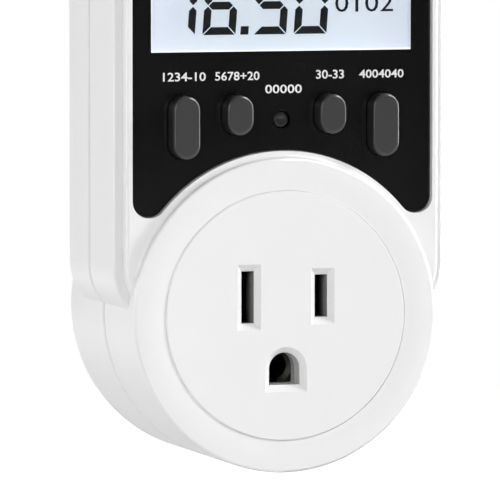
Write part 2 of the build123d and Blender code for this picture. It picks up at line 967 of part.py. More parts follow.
x_capacitor_place = on_meter_board(x_capacitor_shares)
smoothing_place = on_meter_board(smoothing_shares)
varistor_place = on_meter_board(varistor_shares)
fuse_place = on_meter_board(fuse_shares)
battery_place = on_meter_board(battery_shares)
meter_chip_place = on_meter_board(meter_chip_shares)
resistor_place = on_meter_board(resistor_shares)
diode_place = on_meter_board(diode_shares)
x_capacitor_height = board_space - x_capacitor_space
smoothing_radius = (board_space - smoothing_space) / 2
fuse_height = board_space - fuse_space
x_left = x_capacitor_place[0] - x_capacitor_width / 2 + x_capacitor_round + lead_radius
x_right = x_capacitor_place[0] + x_capacitor_width / 2 - x_capacitor_round - lead_radius
x_capacitor_legs = [(x_left, x_capacitor_place[1]), (x_right, x_capacitor_place[1])]
smoothing_end = smoothing_place[0] - smoothing_length / 2
smoothing_legs = [
    (smoothing_end + smoothing_radius / 2, smoothing_place[1]),
    (smoothing_end + smoothing_radius, smoothing_place[1]),
]
varistor_legs = [
    (varistor_place[0] - varistor_radius / 2, varistor_place[1]),
    (varistor_place[0] + varistor_radius / 2, varistor_place[1]),
]
fuse_legs = [
    (fuse_place[0] - fuse_width * lead_share, fuse_place[1]),
    (fuse_place[0] + fuse_width * lead_share, fuse_place[1]),
]
battery_legs = [
    (battery_place[0] - battery_length * lead_share, battery_place[1]),
    (battery_place[0] + battery_length * lead_share, battery_place[1]),
]
shunt_legs = [
    (shunt_place[0] - shunt_length / 2, shunt_place[1]),
    (shunt_place[0] + shunt_length / 2, shunt_place[1]),
]
all_legs = x_capacitor_legs + smoothing_legs + varistor_legs + fuse_legs + battery_legs

contact_tail_z = slot_z + tail_offset
blade_tail_z = slot_z - tail_offset
strap_z = ground_z - strap_drop

with BuildPart() as meter_board:
    with BuildSketch(facing(meter_board_back)) as board_face:
        with Locations((0, (corner_radius - casing_below_axis + meter_board_top) / 2)):
            Rectangle(2 * meter_board_half_width, meter_board_top - corner_radius + casing_below_axis)
        Circle(meter_board_round_radius)
    extrude(board_face.sketch, amount=board_thickness)
    for x, z in casing_screws_at:
        rod(x, z, casing_post_radius + tail_gap, 0, boss_depth, mode=Mode.SUBTRACT)
    for x, z in meter_screws_at:
        rod(x, z, board_hole_radius, 0, boss_depth, mode=Mode.SUBTRACT)
    for x, z in all_legs:
        rod(x, z, lead_radius + lead_gap, 0, boss_depth, mode=Mode.SUBTRACT)
    for x in (-pole_x, pole_x):
        for z in (contact_tail_z, blade_tail_z):
            slab(
                x,
                z,
                contact_sheet + 2 * tail_gap,
                tail_width + 2 * tail_gap,
                0,
                boss_depth,
                mode=Mode.SUBTRACT,
            )
    for x, z in shunt_legs:
        slab(
            x,
            z,
            strap_sheet + 2 * tail_gap,
            tail_width + 2 * tail_gap,
            0,
            boss_depth,
            mode=Mode.SUBTRACT,
        )
    slab(
        0,
        strap_z,
        strap_width + 2 * tail_gap,
        strap_sheet + 2 * tail_gap,
        0,
        boss_depth,
        mode=Mode.SUBTRACT,
    )
save(meter_board, "meter_board")

with BuildPart() as inner_screws:
    for x, z in display_screws_at:
        screw(x, z, display_board_back, 1, inner_screw_size)
    for x, z in meter_screws_at:
        screw(x, z, meter_board_front, -1, inner_screw_size)
    for x, z in ears_at:
        screw(x, z, ear_back_height, 1, inner_screw_size)
        screw(x, z, plug_block_front, -1, inner_screw_size)
save(inner_screws, "inner_screws")

with BuildPart() as x_capacitor:
    slab(
        *x_capacitor_place,
        x_capacitor_width,
        x_capacitor_tall,
        part_seat,
        part_seat + x_capacitor_height,
    )
    fillet(x_capacitor.edges().filter_by(Axis.Y), radius=x_capacitor_round)
    legs(x_capacitor_legs, leg_tip, part_seat)
save(x_capacitor, "x_capacitor")

with BuildPart() as smoothing_capacitor:
    x, z = smoothing_place
    with Locations((x, -(part_seat + smoothing_radius), z)):
        Cylinder(smoothing_radius, smoothing_length, rotation=(0, 90, 0))
    legs(smoothing_legs, leg_tip, part_seat + smoothing_radius)
save(smoothing_capacitor, "smoothing_capacitor")

with BuildPart() as varistor:
    rod(*varistor_place, varistor_radius, part_seat, part_seat + varistor_thickness)
    fillet(varistor.edges(), radius=varistor_thickness * varistor_round_share)
    legs(varistor_legs, leg_tip, part_seat + varistor_thickness / 2)
save(varistor, "varistor")

with BuildPart() as fuse:
    slab(*fuse_place, fuse_width, fuse_tall, part_seat, part_seat + fuse_height)
    legs(fuse_legs, leg_tip, part_seat)
save(fuse, "fuse")

with BuildPart() as backup_battery:
    x, z = battery_place
    with Locations((x, -(part_seat + battery_radius), z)):
        Cylinder(battery_radius, battery_length, rotation=(0, 90, 0))
        for step in (-1, 1):
            with Locations((step * battery_length * battery_groove_share, 0, 0)):
                Cylinder(battery_radius, battery_groove, rotation=(0, 90, 0), mode=Mode.SUBTRACT)
        Cylinder(battery_radius - battery_groove, battery_length, rotation=(0, 90, 0))
    legs(battery_legs, leg_tip, part_seat + battery_radius)
save(backup_battery, "backup_battery")

with BuildPart() as meter_chip:
    chip(meter_chip_place, meter_chip_size, meter_board_front, 1)
save(meter_chip, "meter_chip")

with BuildPart() as resistors:
    width, height, tall = resistor_size
    x, z = resistor_place
    for i in range(resistor_count):
        step = (i - (resistor_count - 1) / 2) * resistor_spacing
        slab(x, z + step, width, tall, meter_board_front, meter_board_front + height)
save(resistors, "resistors")

with BuildPart() as rectifier_diodes:
    width, height, tall = diode_size
    x, z = diode_place
    for i in range(diode_count):
        step = (i - (diode_count - 1) / 2) * diode_spacing
        slab(x + step, z, tall, width, meter_board_front, meter_board_front + height)
save(rectifier_diodes, "rectifier_diodes")

with BuildPart() as shunt:
    x, z = shunt_place
    bridge = meter_board_front + shunt_rise
    slab(x, z, shunt_length + strap_sheet, shunt_width, bridge, bridge + strap_sheet)
    for leg_x, leg_z in shunt_legs:
        slab(leg_x, leg_z, strap_sheet, shunt_width, part_seat, bridge)
        slab(leg_x, leg_z, strap_sheet, tail_width, leg_tip, part_seat)
save(shunt, "shunt")

# Pin header and socket that join the two boards
header_back = display_board_back - link_base_height
socket_front = header_back - link_space
pin_tip = socket_front - link_pin_grip

with BuildPart() as link_header:
    slab(0, link_z, link_length, link_width, header_back, display_board_back)
    for x, z in link_places:
        slab(x, z, link_pin, link_pin, pin_tip, display_board_front + link_pin_proud)
save(link_header, "link_header")

with BuildPart() as link_socket:
    slab(0, link_z, link_length, link_width, meter_board_front, socket_front)
    hole = link_pin + 2 * link_pin_gap
    for x, z in link_places:
        slab(x, z, hole, hole, pin_tip - link_pin_gap, socket_front + overrun, mode=Mode.SUBTRACT)
save(link_socket, "link_socket")


def block_with_ears(low, high, ear_low, ear_high):
    """Moulded block round the three poles, with an ear on each side for its screw."""
    tall = block_above + block_below
    middle = slot_z + (block_above - block_below) / 2
    slab(0, middle, 2 * block_half_width, tall, low, high)
    slab(0, slot_z, 2 * ear_x, 2 * ear_radius, ear_low, ear_high)
    for x, z in ears_at:
        rod(x, z, ear_radius, ear_low, ear_high)


# Outlet contacts in their block behind the socket face
contact_top = contact_block_front - contact_clearance

with BuildPart() as contact_carrier:
    block_with_ears(contact_block_back, contact_block_front, ear_back_height, ear_front_height)
    rod(0, 0, ledge_bore_radius - insert_gap, contact_block_front, insert_back - part_seat_gap)
    for x, z in ears_at:
        rod(x, z, board_hole_radius, 0, boss_depth, mode=Mode.SUBTRACT)
    for x, tall in ((-pole_x, neutral_slot_height), (pole_x, line_slot_height)):
        slab(
            x,
            slot_z,
            slot_width + 2 * carrier_slot_step,
            tall + 2 * carrier_slot_step,
            0,
            boss_depth,
            mode=Mode.SUBTRACT,
        )
        slab(
            x,
            slot_z,
            contact_cavity_width,
            neutral_slot_height + 2 * contact_cavity_margin,
            contact_block_back - overrun,
            contact_block_front,
            mode=Mode.SUBTRACT,
        )
    extrude(
        arch_outline(0, ground_hole_radius - ground_hole_step, ground_hole_flat - ground_hole_step),
        amount=boss_depth,
        mode=Mode.SUBTRACT,
    )
    slab(
        0,
        ground_z,
        ground_cavity,
        ground_cavity,
        contact_block_back - overrun,
        contact_block_front,
        mode=Mode.SUBTRACT,
    )
save(contact_carrier, "contact_carrier")

for name, x in (("neutral", -pole_x), ("line", pole_x)):
    with BuildPart() as contact:
        base = contact_block_back + contact_sheet
        grip = base + (contact_top - base) * contact_grip_share
        with BuildSketch(Plane.XY.offset(slot_z - contact_height / 2)) as leaves:
            for side in (-1, 1):
                with BuildLine():
                    Polyline(
                        (x + side * (contact_base - contact_sheet) / 2, -base),
                        (x + side * (contact_pinch + contact_sheet) / 2, -grip),
                        (x + side * (contact_mouth + contact_sheet) / 2, -contact_top),
                    )
                trace(line_width=contact_sheet)
        extrude(leaves.sketch, amount=contact_height)
        slab(x, slot_z, contact_base, contact_height, contact_block_back, base + contact_sheet / 2)
        slab(x, contact_tail_z, contact_sheet, tail_width, leg_tip, base)
    save(contact, f"{name}_contact")

with BuildPart() as ground_contact:
    sleeve_bottom = contact_top - ground_sleeve_depth
    outer = ground_sleeve_radius + contact_sheet
    with BuildSketch(Plane.XY) as sleeve_profile:
        with BuildLine():
            Polyline(
                (ground_sleeve_radius, -sleeve_bottom),
                (outer, -sleeve_bottom),
                (outer, contact_sheet - contact_top),
                (ground_flare_radius + contact_sheet, -contact_top),
                (ground_flare_radius, -contact_top),
                (ground_sleeve_radius, contact_sheet - contact_top),
                close=True,
            )
        make_face()
    revolve(axis=Axis.Y)
    slit_reach = 2 * (outer + contact_sheet)
    slab(0, 0, ground_sleeve_slit, slit_reach, sleeve_bottom, contact_top, mode=Mode.SUBTRACT)
    base = contact_block_back + contact_sheet
    for side in (-1, 1):
        slab(
            side * (ground_sleeve_radius + contact_sheet / 2),
            0,
            contact_sheet,
            outer,
            contact_block_back,
            sleeve_bottom + contact_sheet,
        )
    slab(0, 0, ground_base, ground_base, contact_block_back, base)
ground_contact.part.locate(Location((0, 0, ground_z)))
save(ground_contact, "ground_contact")

# Plug: two blades, the ground pin, their block and the ground strap
with BuildPart() as blade_carrier:
    ear_low = plug_block_front - ear_thickness
    block_with_ears(wall, plug_block_front, ear_low, plug_block_front)
    for x, z in ears_at:
        rod(x, z, board_hole_radius, 0, boss_depth, mode=Mode.SUBTRACT)
    for x in (-pole_x, pole_x):
        slab(
            x,
            slot_z,
            blade_thickness + 2 * blade_fit,
            blade_width + 2 * blade_fit,
            0,
            boss_depth,
            mode=Mode.SUBTRACT,
        )
    rod(0, ground_z, pin_root_radius + blade_fit, 0, boss_depth, mode=Mode.SUBTRACT)
save(blade_carrier, "blade_carrier")

shoulder_top = plug_block_front + blade_shoulder

for name, x in (("neutral", -pole_x), ("line", pole_x)):
    with BuildPart() as blade:
        slab(x, slot_z, blade_thickness, blade_width, -blade_length, plug_block_front)
        chamfer(rear_face(blade).edges(), length=blade_tip)
        with Locations((x, blade_eye_from_wall, slot_z)):
            Cylinder(blade_eye_radius, 2 * blade_thickness, rotation=(0, 90, 0), mode=Mode.SUBTRACT)
        slab(
            x,
            slot_z,
            blade_thickness,
            blade_width + 2 * blade_shoulder,
            plug_block_front,
            shoulder_top,
        )
        slab(x, blade_tail_z, contact_sheet, tail_width, shoulder_top, meter_board_front + tail_proud)
    save(blade, f"{name}_blade")

collar_top = plug_block_front + pin_collar_height

with BuildPart() as ground_pin:
    rod(0, ground_z, ground_pin_radius, -ground_pin_length, 0)
    fillet(rear_face(ground_pin).edges(), radius=ground_pin_round)
    rod(0, ground_z, pin_root_radius, 0, plug_block_front)
    rod(0, ground_z, pin_collar_radius, plug_block_front, collar_top)
    rod(0, ground_z, rivet_radius, collar_top, collar_top + strap_sheet + screw_head_height / 2)
save(ground_pin, "ground_pin")

with BuildPart() as ground_strap:
    foot_top = collar_top + strap_sheet
    riser = strap_z + strap_sheet / 2
    foot_end = ground_z + pin_collar_radius
    slab(
        0,
        (riser + foot_end) / 2,
        strap_width,
        foot_end - riser,
        collar_top,
        foot_top,
    )
    rod(0, ground_z, rivet_radius + screw_gap, collar_top - overrun, foot_top + overrun, mode=Mode.SUBTRACT)
    slab(0, strap_z, strap_width, strap_sheet, collar_top, contact_block_back)
    slab(
        0,
        strap_z + strap_reach / 2,
        strap_width,
        strap_reach,
        contact_block_back - strap_sheet,
        contact_block_back,
    )
save(ground_strap, "ground_strap")
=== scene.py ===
"""Looks of a plug-in energy monitor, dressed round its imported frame.

Lengths are metres in the frame's own axes: X to the user's right, Z up, Y into the wall.
"""

import sys
import json
import logging
import math
from collections.abc import Iterable, Sequence
from dataclasses import dataclass, field
from enum import Enum

import bmesh
import bpy
from mathutils import Matrix, Vector


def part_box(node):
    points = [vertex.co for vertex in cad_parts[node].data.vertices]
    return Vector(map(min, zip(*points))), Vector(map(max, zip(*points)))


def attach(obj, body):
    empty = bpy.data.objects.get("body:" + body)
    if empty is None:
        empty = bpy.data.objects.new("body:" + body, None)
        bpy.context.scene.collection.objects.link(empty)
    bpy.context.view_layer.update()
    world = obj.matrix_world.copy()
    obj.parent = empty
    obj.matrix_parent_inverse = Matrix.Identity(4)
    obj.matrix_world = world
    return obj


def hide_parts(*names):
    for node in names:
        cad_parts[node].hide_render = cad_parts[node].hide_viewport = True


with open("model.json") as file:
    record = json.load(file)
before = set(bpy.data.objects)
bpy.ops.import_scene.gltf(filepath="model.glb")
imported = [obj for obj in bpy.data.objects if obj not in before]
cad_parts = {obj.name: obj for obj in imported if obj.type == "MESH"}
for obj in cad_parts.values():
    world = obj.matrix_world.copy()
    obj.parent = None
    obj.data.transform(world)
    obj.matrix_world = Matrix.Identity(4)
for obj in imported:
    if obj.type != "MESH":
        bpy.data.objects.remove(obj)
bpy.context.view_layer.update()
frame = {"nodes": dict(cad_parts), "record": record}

log = logging.getLogger("energy_monitor")

MM = 0.001
CASING = "casing"  # the body that every new piece rides on
Span = tuple[float, float]
Point = tuple[float, float]
Place = tuple[float, float, float]
Colour = tuple[float, float, float]


class Way(Enum):
    """Which way along Y a face looks or a screw's tip points."""

    TO_USER = -1
    TO_WALL = 1


class Shine(Enum):
    """What a light adds to a surface."""

    ALL = "all"
    MATT = "matt"
    MIRRORED = "mirrored"


# Node trees written as expressions


class Wire:
    """A node's output socket. Sums, products and comparisons of wires add Math nodes."""

    def __init__(self, graph: "Graph", socket: bpy.types.NodeSocket) -> None:
        """Hold an output of a node in a graph."""
        self.graph = graph
        self.socket = socket

    def _math(self, operation: str, *terms: "Wire | float") -> "Wire":
        """Add a Math node of one operation on the terms."""
        return self.graph.add("ShaderNodeMath", {"operation": operation}, dict(enumerate(terms)))

    def __add__(self, other: "Wire | float") -> "Wire":
        """Sum."""
        return self._math("ADD", self, other)

    __radd__ = __add__

    def __sub__(self, other: "Wire | float") -> "Wire":
        """Difference."""
        return self._math("SUBTRACT", self, other)

    def __rsub__(self, other: float) -> "Wire":
        """Difference from a number."""
        return self._math("SUBTRACT", other, self)

    def __mul__(self, other: "Wire | float") -> "Wire":
        """Product."""
        return self._math("MULTIPLY", self, other)

    __rmul__ = __mul__

    def __truediv__(self, other: "Wire | float") -> "Wire":
        """Quotient."""
        return self._math("DIVIDE", self, other)

    def __pow__(self, other: float) -> "Wire":
        """Power."""
        return self._math("POWER", self, other)

    def __abs__(self) -> "Wire":
        """Size without its sign."""
        return self._math("ABSOLUTE", self)

    def __lt__(self, other: "Wire | float") -> "Wire":
        """1 where this is the smaller, and 0 elsewhere."""
        return self._math("LESS_THAN", self, other)

    def __gt__(self, other: "Wire | float") -> "Wire":
        """1 where this is the larger, and 0 elsewhere."""
        return self._math("GREATER_THAN", self, other)

    def wave(self) -> "Wire":
        """Sine."""
        return self._math("SINE", self)

    def repeat(self) -> "Wire":
        """Part after the decimal point."""
        return self._math("FRACT", self)

    def larger(self, other: "Wire | float") -> "Wire":
        """The larger of the two."""
        return self._math("MAXIMUM", self, other)

    def swing(self, width: float) -> "Wire":
        """This, which runs from 0 to 1, as a swing about 0 of that whole width."""
        return width * (self - 0.5)

    def ramp(self, start: float, end: float, low: float = 0.0, high: float = 1.0) -> "Wire":
        """Smooth step from low, at start, to high, at end."""
        return self.graph.add(
            "ShaderNodeMapRange",
            {"interpolation_type": "SMOOTHSTEP"},
            {"Value": self, "From Min": start, "From Max": end, "To Min": low, "To Max": high},
        )


class Graph:
    """A shader or geometry node tree."""

    def __init__(self, tree: bpy.types.NodeTree) -> None:
        """Hold the tree that nodes are added to."""
        self.tree = tree

    def add(
        self,
        kind: str,
        settings: dict[str, object] | None = None,
        values: dict[int | str, object] | None = None,
        output: int | str = 0,
    ) -> Wire:
        """Add one node.

        Args:
            kind: the node's type.
            settings: the node's properties, such as a Math node's operation, set first.
            values: what each input gets, by name or number: a value, a wire or a list of wires.
            output: the output that the result holds.

        Returns:
            The node's output as a wire.
        """
        node = self.tree.nodes.new(kind)
        for name, setting in (settings or {}).items():
            setattr(node, name, setting)
        for name, value in (values or {}).items():
            self._feed(node.inputs[name], value)
        return Wire(self, node.outputs[output])

    def other(self, wire: Wire, output: int | str) -> Wire:
        """Another output of the node that a wire comes from."""
        return Wire(self, wire.socket.node.outputs[output])

    def _feed(self, socket: bpy.types.NodeSocket, value: object) -> None:
        """Link or set one input."""
        if isinstance(value, Wire):
            self.tree.links.new(value.socket, socket)
        elif isinstance(value, list):
            for wire in value:
                self.tree.links.new(wire.socket, socket)
        elif isinstance(value, tuple) and len(value) == 3 and socket.type == "RGBA":
            socket.default_value = (*value, 1.0)
        else:
            socket.default_value = value


class SurfaceGraph(Graph):
    """The node tree of one material, round one Principled shader."""

    def __init__(self, name: str) -> None:
        """Start a material of that name."""
        self.material = bpy.data.materials.new(name)
        self.material.use_nodes = True
        super().__init__(self.material.node_tree)
        self.shader = self.tree.nodes["Principled BSDF"]
        self.place = self.add("ShaderNodeTexCoord", output="Object")

    def mix(self, factor: "Wire | float", a: "Wire | Colour", b: "Wire | Colour") -> Wire:
        """Mix two colours."""
        return self.add("ShaderNodeMix", {"data_type": "RGBA"}, {0: factor, 6: a, 7: b}, output=2)

    def noise(self, size: float, detail: float = 2.0, stretch: Place = (1.0, 1.0, 1.0)) -> Wire:
        """Noise from 0 to 1.

        Args:
            size: about how large its features are, in metres.
            detail: how many finer layers it has.
            stretch: how much finer it is along each axis.

        Returns:
            The noise as a wire.
        """
        place = self.place
        if stretch != (1.0, 1.0, 1.0):
            scaled = {0: place, 1: stretch}
            place = self.add("ShaderNodeVectorMath", {"operation": "MULTIPLY"}, scaled)
        values = {"Vector": place, "Scale": 1 / size, "Detail": detail}
        return self.add("ShaderNodeTexNoise", None, values)

    def axes(self) -> tuple[Wire, Wire, Wire]:
        """The place's X, Y and Z."""
        x = self.add("ShaderNodeSeparateXYZ", None, {0: self.place})
        return x, self.other(x, 1), self.other(x, 2)

    def bump(self, height: Wire, depth: float) -> Wire:
        """Normal of a surface raised by height times depth metres."""
        values = {"Strength": 1.0, "Distance": depth, "Height": height}
        return self.add("ShaderNodeBump", None, values)

    def set(self, **values: object) -> bpy.types.Material:
        """Feed the shader's sockets, named with _ for a space, and return the material."""
        for name, value in values.items():
            self._feed(self.shader.inputs[name.replace("_", " ")], value)
        return self.material


class Repeater(Graph):
    """A Geometry Nodes tree with named sizes, which puts one shape on each of some spots."""

    def __init__(self, name: str) -> None:
        """Start a tree of that name, with its points as the first input."""
        super().__init__(bpy.data.node_groups.new(name, "GeometryNodeTree"))
        for label, side in (("Points", "INPUT"), ("Geometry", "OUTPUT")):
            self.tree.interface.new_socket(label, in_out=side, socket_type="NodeSocketGeometry")
        self._entry = self.tree.nodes.new("NodeGroupInput")
        self._exit = self.tree.nodes.new("NodeGroupOutput")
        self._sizes: dict[str, float] = {}

    def size(self, name: str, value: float) -> Wire:
        """Add a named input with the value it runs with, and return it as a wire."""
        interface = self.tree.interface
        socket = interface.new_socket(name, in_out="INPUT", socket_type="NodeSocketFloat")
        self._sizes[socket.identifier] = value
        return Wire(self, self._entry.outputs[name])

    def vector(self, x: "Wire | float", y: "Wire | float", z: "Wire | float") -> Wire:
        """Three numbers as one vector."""
        return self.add("ShaderNodeCombineXYZ", None, {0: x, 1: y, 2: z})

    def moved(self, shape: Wire, place: "Wire | Place") -> Wire:
        """A shape moved by a vector."""
        return self.add("GeometryNodeTransform", None, {"Geometry": shape, "Translation": place})

    def cylinder(
        self, radius: "Wire | float", start: "Wire | float", tall: "Wire | float", sides: int
    ) -> Wire:
        """A closed cylinder along Z, from a start height."""
        sizes = {"Vertices": sides, "Radius": radius, "Depth": tall}
        shape = self.add("GeometryNodeMeshCylinder", None, sizes)
        return self.moved(shape, self.vector(0.0, 0.0, start + tall / 2))

    def cone(
        self,
        low: "Wire | float",
        high: "Wire | float",
        start: "Wire | float",
        tall: "Wire | float",
        sides: int,
    ) -> Wire:
        """A cone cut off along Z, from its low radius at a start height to its high one."""
        sizes = {"Vertices": sides, "Radius Bottom": low, "Radius Top": high, "Depth": tall}
        shape = self.add("GeometryNodeMeshCone", None, sizes)
        return self.moved(shape, self.vector(0.0, 0.0, start))

    def run(self, shape: Wire, spots: "Sequence[Spot]", name: str, slot: str) -> bpy.types.Object:
        """Put the shape on every spot and keep the result as a plain mesh.

        Args:
            shape: what stands on each spot, along Z.
            spots: the seed points.
            name: the new object's name.
            slot: the finish's slot in the record.

        Returns:
            The linked object, with no modifier left on it.
        """
        points = Wire(self, self._entry.outputs["Points"])
        turn, reach = self._attribute("turn"), self._attribute("reach")
        placed = self.add(
            "GeometryNodeInstanceOnPoints",
            None,
            {
                "Points": points,
                "Instance": shape,
                "Rotation": self.vector(turn, 0.0, 0.0),
                "Scale": self.vector(reach, reach, 1.0),
            },
        )
        solid = self.add("GeometryNodeRealizeInstances", None, {"Geometry": placed})
        finish = {"Geometry": solid, "Material": palette.get(slot)}
        done = self.add("GeometryNodeSetMaterial", None, finish)
        self.tree.links.new(done.socket, self._exit.inputs[0])
        obj = self._seed(spots, name)
        self._settle(obj)
        return obj

    def _attribute(self, name: str) -> Wire:
        """A number that each spot carries."""
        kind = {"data_type": "FLOAT"}
        return self.add("GeometryNodeInputNamedAttribute", kind, {"Name": name})

    def _seed(self, spots: "Sequence[Spot]", name: str) -> bpy.types.Object:
        """Link an object of loose points, one for each spot, with its turn and reach."""
        seed = bpy.data.meshes.new(name + "_seed")
        seed.from_pydata([spot.place for spot in spots], [], [])
        numbers = {
            "turn": [-spot.way.value * math.pi / 2 for spot in spots],
            "reach": [spot.reach for spot in spots],
        }
        for label, values in numbers.items():
            seed.attributes.new(label, "FLOAT", "POINT").data.foreach_set("value", values)
        obj = bpy.data.objects.new(name, seed)
        bpy.context.scene.collection.objects.link(obj)
        return obj

    def _settle(self, obj: bpy.types.Object) -> None:
        """Run the tree on a seed object and leave it with the result as its plain mesh."""
        modifier = obj.modifiers.new("repeat", "NODES")
        modifier.node_group = self.tree
        for identifier, value in self._sizes.items():
            modifier[identifier] = value
        evaluated = bpy.context.evaluated_depsgraph_get()
        source = obj.evaluated_get(evaluated)
        mesh = bpy.data.meshes.new_from_object(source, depsgraph=evaluated)
        obj.modifiers.remove(modifier)
        bm = bmesh.new()
        bm.from_mesh(mesh)
        put_in_order(bm)
        bmesh.ops.remove_doubles(bm, verts=bm.verts, dist=1e-7)
        put_in_order(bm)
        shade(bm, smooth_below=40.0)
        bm.to_mesh(mesh)
        bm.free()
        mesh.name = obj.name
        obj.data = mesh


@dataclass(frozen=True)
class Spot:
    """A place for one repeated shape: its foot, which way its Z points, and its scale across."""

    place: Place
    way: Way
    reach: float = 1.0


# Finishes

BLACK = (0.0, 0.0, 0.0)


def scaled(colour: Colour, share: float) -> Colour:
    """A colour made darker or lighter by a share."""
    return tuple(share * c for c in colour)


@dataclass(frozen=True)
class MouldedPlastic:
    """Injection-moulded plastic: an even colour, a fine spark grain and slow waves of gloss."""

    colour: Colour
    roughness: float = 0.38
    mottle: float = 0.02
    grain_size: float = 0.12 * MM
    grain_depth: float = 0.0012 * MM
    grain_gloss: float = 0.05
    flow_size: float = 9 * MM
    flow_gloss: float = 0.06
    coat: float = 0.0
    coat_roughness: float = 0.12

    def tint(self, g: SurfaceGraph, colour: Wire) -> Wire:
        """The colour after what darkens it at some places; none here."""
        return colour

    def material(self, name: str) -> bpy.types.Material:
        """Make the material of that name."""
        g = SurfaceGraph(name)
        flow = g.noise(self.flow_size)
        grain = g.noise(self.grain_size, detail=1.0)
        darker = scaled(self.colour, 1 - self.mottle)
        return g.set(
            Base_Color=self.tint(g, g.mix(flow, darker, self.colour)),
            Roughness=self.roughness + flow.swing(self.flow_gloss) + grain.swing(self.grain_gloss),
            Coat_Weight=self.coat,
            Coat_Roughness=self.coat_roughness,
            Normal=g.bump(grain, self.grain_depth),
        )


@dataclass(frozen=True)
class SeamedPlastic(MouldedPlastic):
    """Moulded plastic of the two shells, with painted shade in the seam between them."""

    seam: float = -19.55 * MM
    front_fade: Span = (-0.64 * MM, -0.5 * MM)
    back_fade: Span = (0.26 * MM, 0.36 * MM)
    dust: Colour = (0.3, 0.3, 0.3)

    def tint(self, g: SurfaceGraph, colour: Wire) -> Wire:
        """Paint shade into the gap and onto the front shell's edge of it."""
        _, y, _ = g.axes()
        front = (y - self.seam).ramp(*self.front_fade)
        behind = (y - self.seam).ramp(*self.back_fade)
        # Painted shade: the seam's gap and the front shell's edge of it turn dark grey.
        return g.mix(front * (1.0 - behind), colour, self.dust)


@dataclass(frozen=True)
class OutletPlastic(MouldedPlastic):
    """Moulded plastic of the outlet, with painted shade deepening with depth in its openings.

    The ground hole's painted shade is lighter than the slots', with a painted highlight ring at
    each of its steps.
    """

    start: float = -36.5 * MM
    end: float = -31.0 * MM
    slot_shades: Span = (0.36, 0.14)
    hole_shades: Span = (0.8, 0.3)
    hole_below: float = -5.0 * MM
    rings: tuple[float, ...] = (-34.2 * MM, -32.6 * MM, -31.2 * MM)
    highlight_ring_half: float = 0.13 * MM

    def tint(self, g: SurfaceGraph, colour: Wire) -> Wire:
        """Paint shade onto the openings' walls, and a painted highlight ring at each step of the
        ground hole.
        """
        _, y, z = g.axes()
        ground = z < self.hole_below
        # Painted shade: the walls darken with depth, less in the ground hole than in the slots.
        slots = y.ramp(self.start, self.end, *self.slot_shades)
        hole = y.ramp(self.start, self.end, *self.hole_shades)
        # Painted highlight: a pale ring at each step of the ground hole.
        ring = abs(y - self.rings[0]) < self.highlight_ring_half
        for place in self.rings[1:]:
            ring = ring.larger(abs(y - place) < self.highlight_ring_half)
        inside = y > self.start
        light = slots + (hole - slots) * ground
        light = light + (1.0 - light) * ring * ground
        painted_light_share = 1.0 + (light - 1.0) * inside
        return g.mix(painted_light_share, BLACK, colour)


@dataclass(frozen=True)
class GlossyPanel:
    """Polished black plastic under a hard coat, with a faint haze of handling."""

    colour: Colour = (0.0018, 0.0018, 0.002)
    roughness: float = 0.26
    haze_size: float = 14 * MM
    haze_gloss: float = 0.08
    hazed: float = 1.25
    ripple_size: float = 1.6 * MM
    ripple_depth: float = 0.0006 * MM
    coat: float = 0.35
    coat_roughness: float = 0.08

    def material(self, name: str) -> bpy.types.Material:
        """Make the material of that name."""
        g = SurfaceGraph(name)
        haze = g.noise(self.haze_size, detail=3.0)
        ripple = g.noise(self.ripple_size)
        return g.set(
            Base_Color=g.mix(haze, self.colour, scaled(self.colour, self.hazed)),
            Roughness=self.roughness + haze.swing(self.haze_gloss),
            Coat_Weight=self.coat,
            Coat_Roughness=self.coat_roughness,
            Normal=g.bump(ripple, self.ripple_depth),
        )


@dataclass(frozen=True)
class ClearSheet:
    """Clear polished cover that mirrors at a glance.

    Its sawn edge, at the left and below, has a painted glow.
    """

    colour: Colour = (0.96, 0.98, 1.0)
    index: float = 1.49
    glance_share: float = 0.9
    roughness: float = 0.03
    haze_size: float = 12 * MM
    haze_gloss: float = 0.03
    rim: float = 0.11 * MM
    rim_share: float = 0.55
    painted_rim_glow: Colour = (0.6, 0.6, 0.6)

    def material(self, name: str) -> bpy.types.Material:
        """Make the material of that name."""
        g = SurfaceGraph(name)
        glance = g.add("ShaderNodeFresnel", None, {"IOR": self.index})
        haze = g.noise(self.haze_size)
        low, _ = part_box("lcd_window")
        x, _, z = g.axes()
        rim = (x < low.x + self.rim).larger(z < low.z + self.rim)
        return g.set(
            Base_Color=self.colour,
            Metallic=1.0 - rim,
            Roughness=self.roughness + self.haze_gloss * haze,
            Alpha=(glance * self.glance_share).larger(rim * self.rim_share),
            # Painted glow along the sawn edge.
            Emission_Color=g.mix(rim, BLACK, self.painted_rim_glow),
            Emission_Strength=1.0,
        )


@dataclass(frozen=True)
class DisplayFilm:
    """Pale film of the display, with a painted glow that is stronger towards one side."""

    colour: Colour = (0.73, 0.80, 0.875)
    side_colour: Colour = (0.74, 0.76, 0.88)
    side_fade: Span = (0.2, 1.0)
    half_width: float = 24 * MM
    cloud_size: float = 20 * MM
    painted_glows: Span = (0.34, 0.44)
    roughness: float = 0.5

    def material(self, name: str) -> bpy.types.Material:
        """Make the material of that name."""
        g = SurfaceGraph(name)
        x, _, _ = g.axes()
        side = (abs(x) / self.half_width) ** 2.0
        cloud = g.noise(self.cloud_size)
        tint = g.mix(side.ramp(*self.side_fade) * cloud, self.colour, self.side_colour)
        # Painted glow on the film, stronger towards the right.
        lit = x.ramp(-self.half_width, self.half_width, *self.painted_glows)
        return g.set(
            Base_Color=tint,
            Roughness=self.roughness,
            Emission_Color=g.mix(lit, BLACK, tint),
            Emission_Strength=1.0,
        )


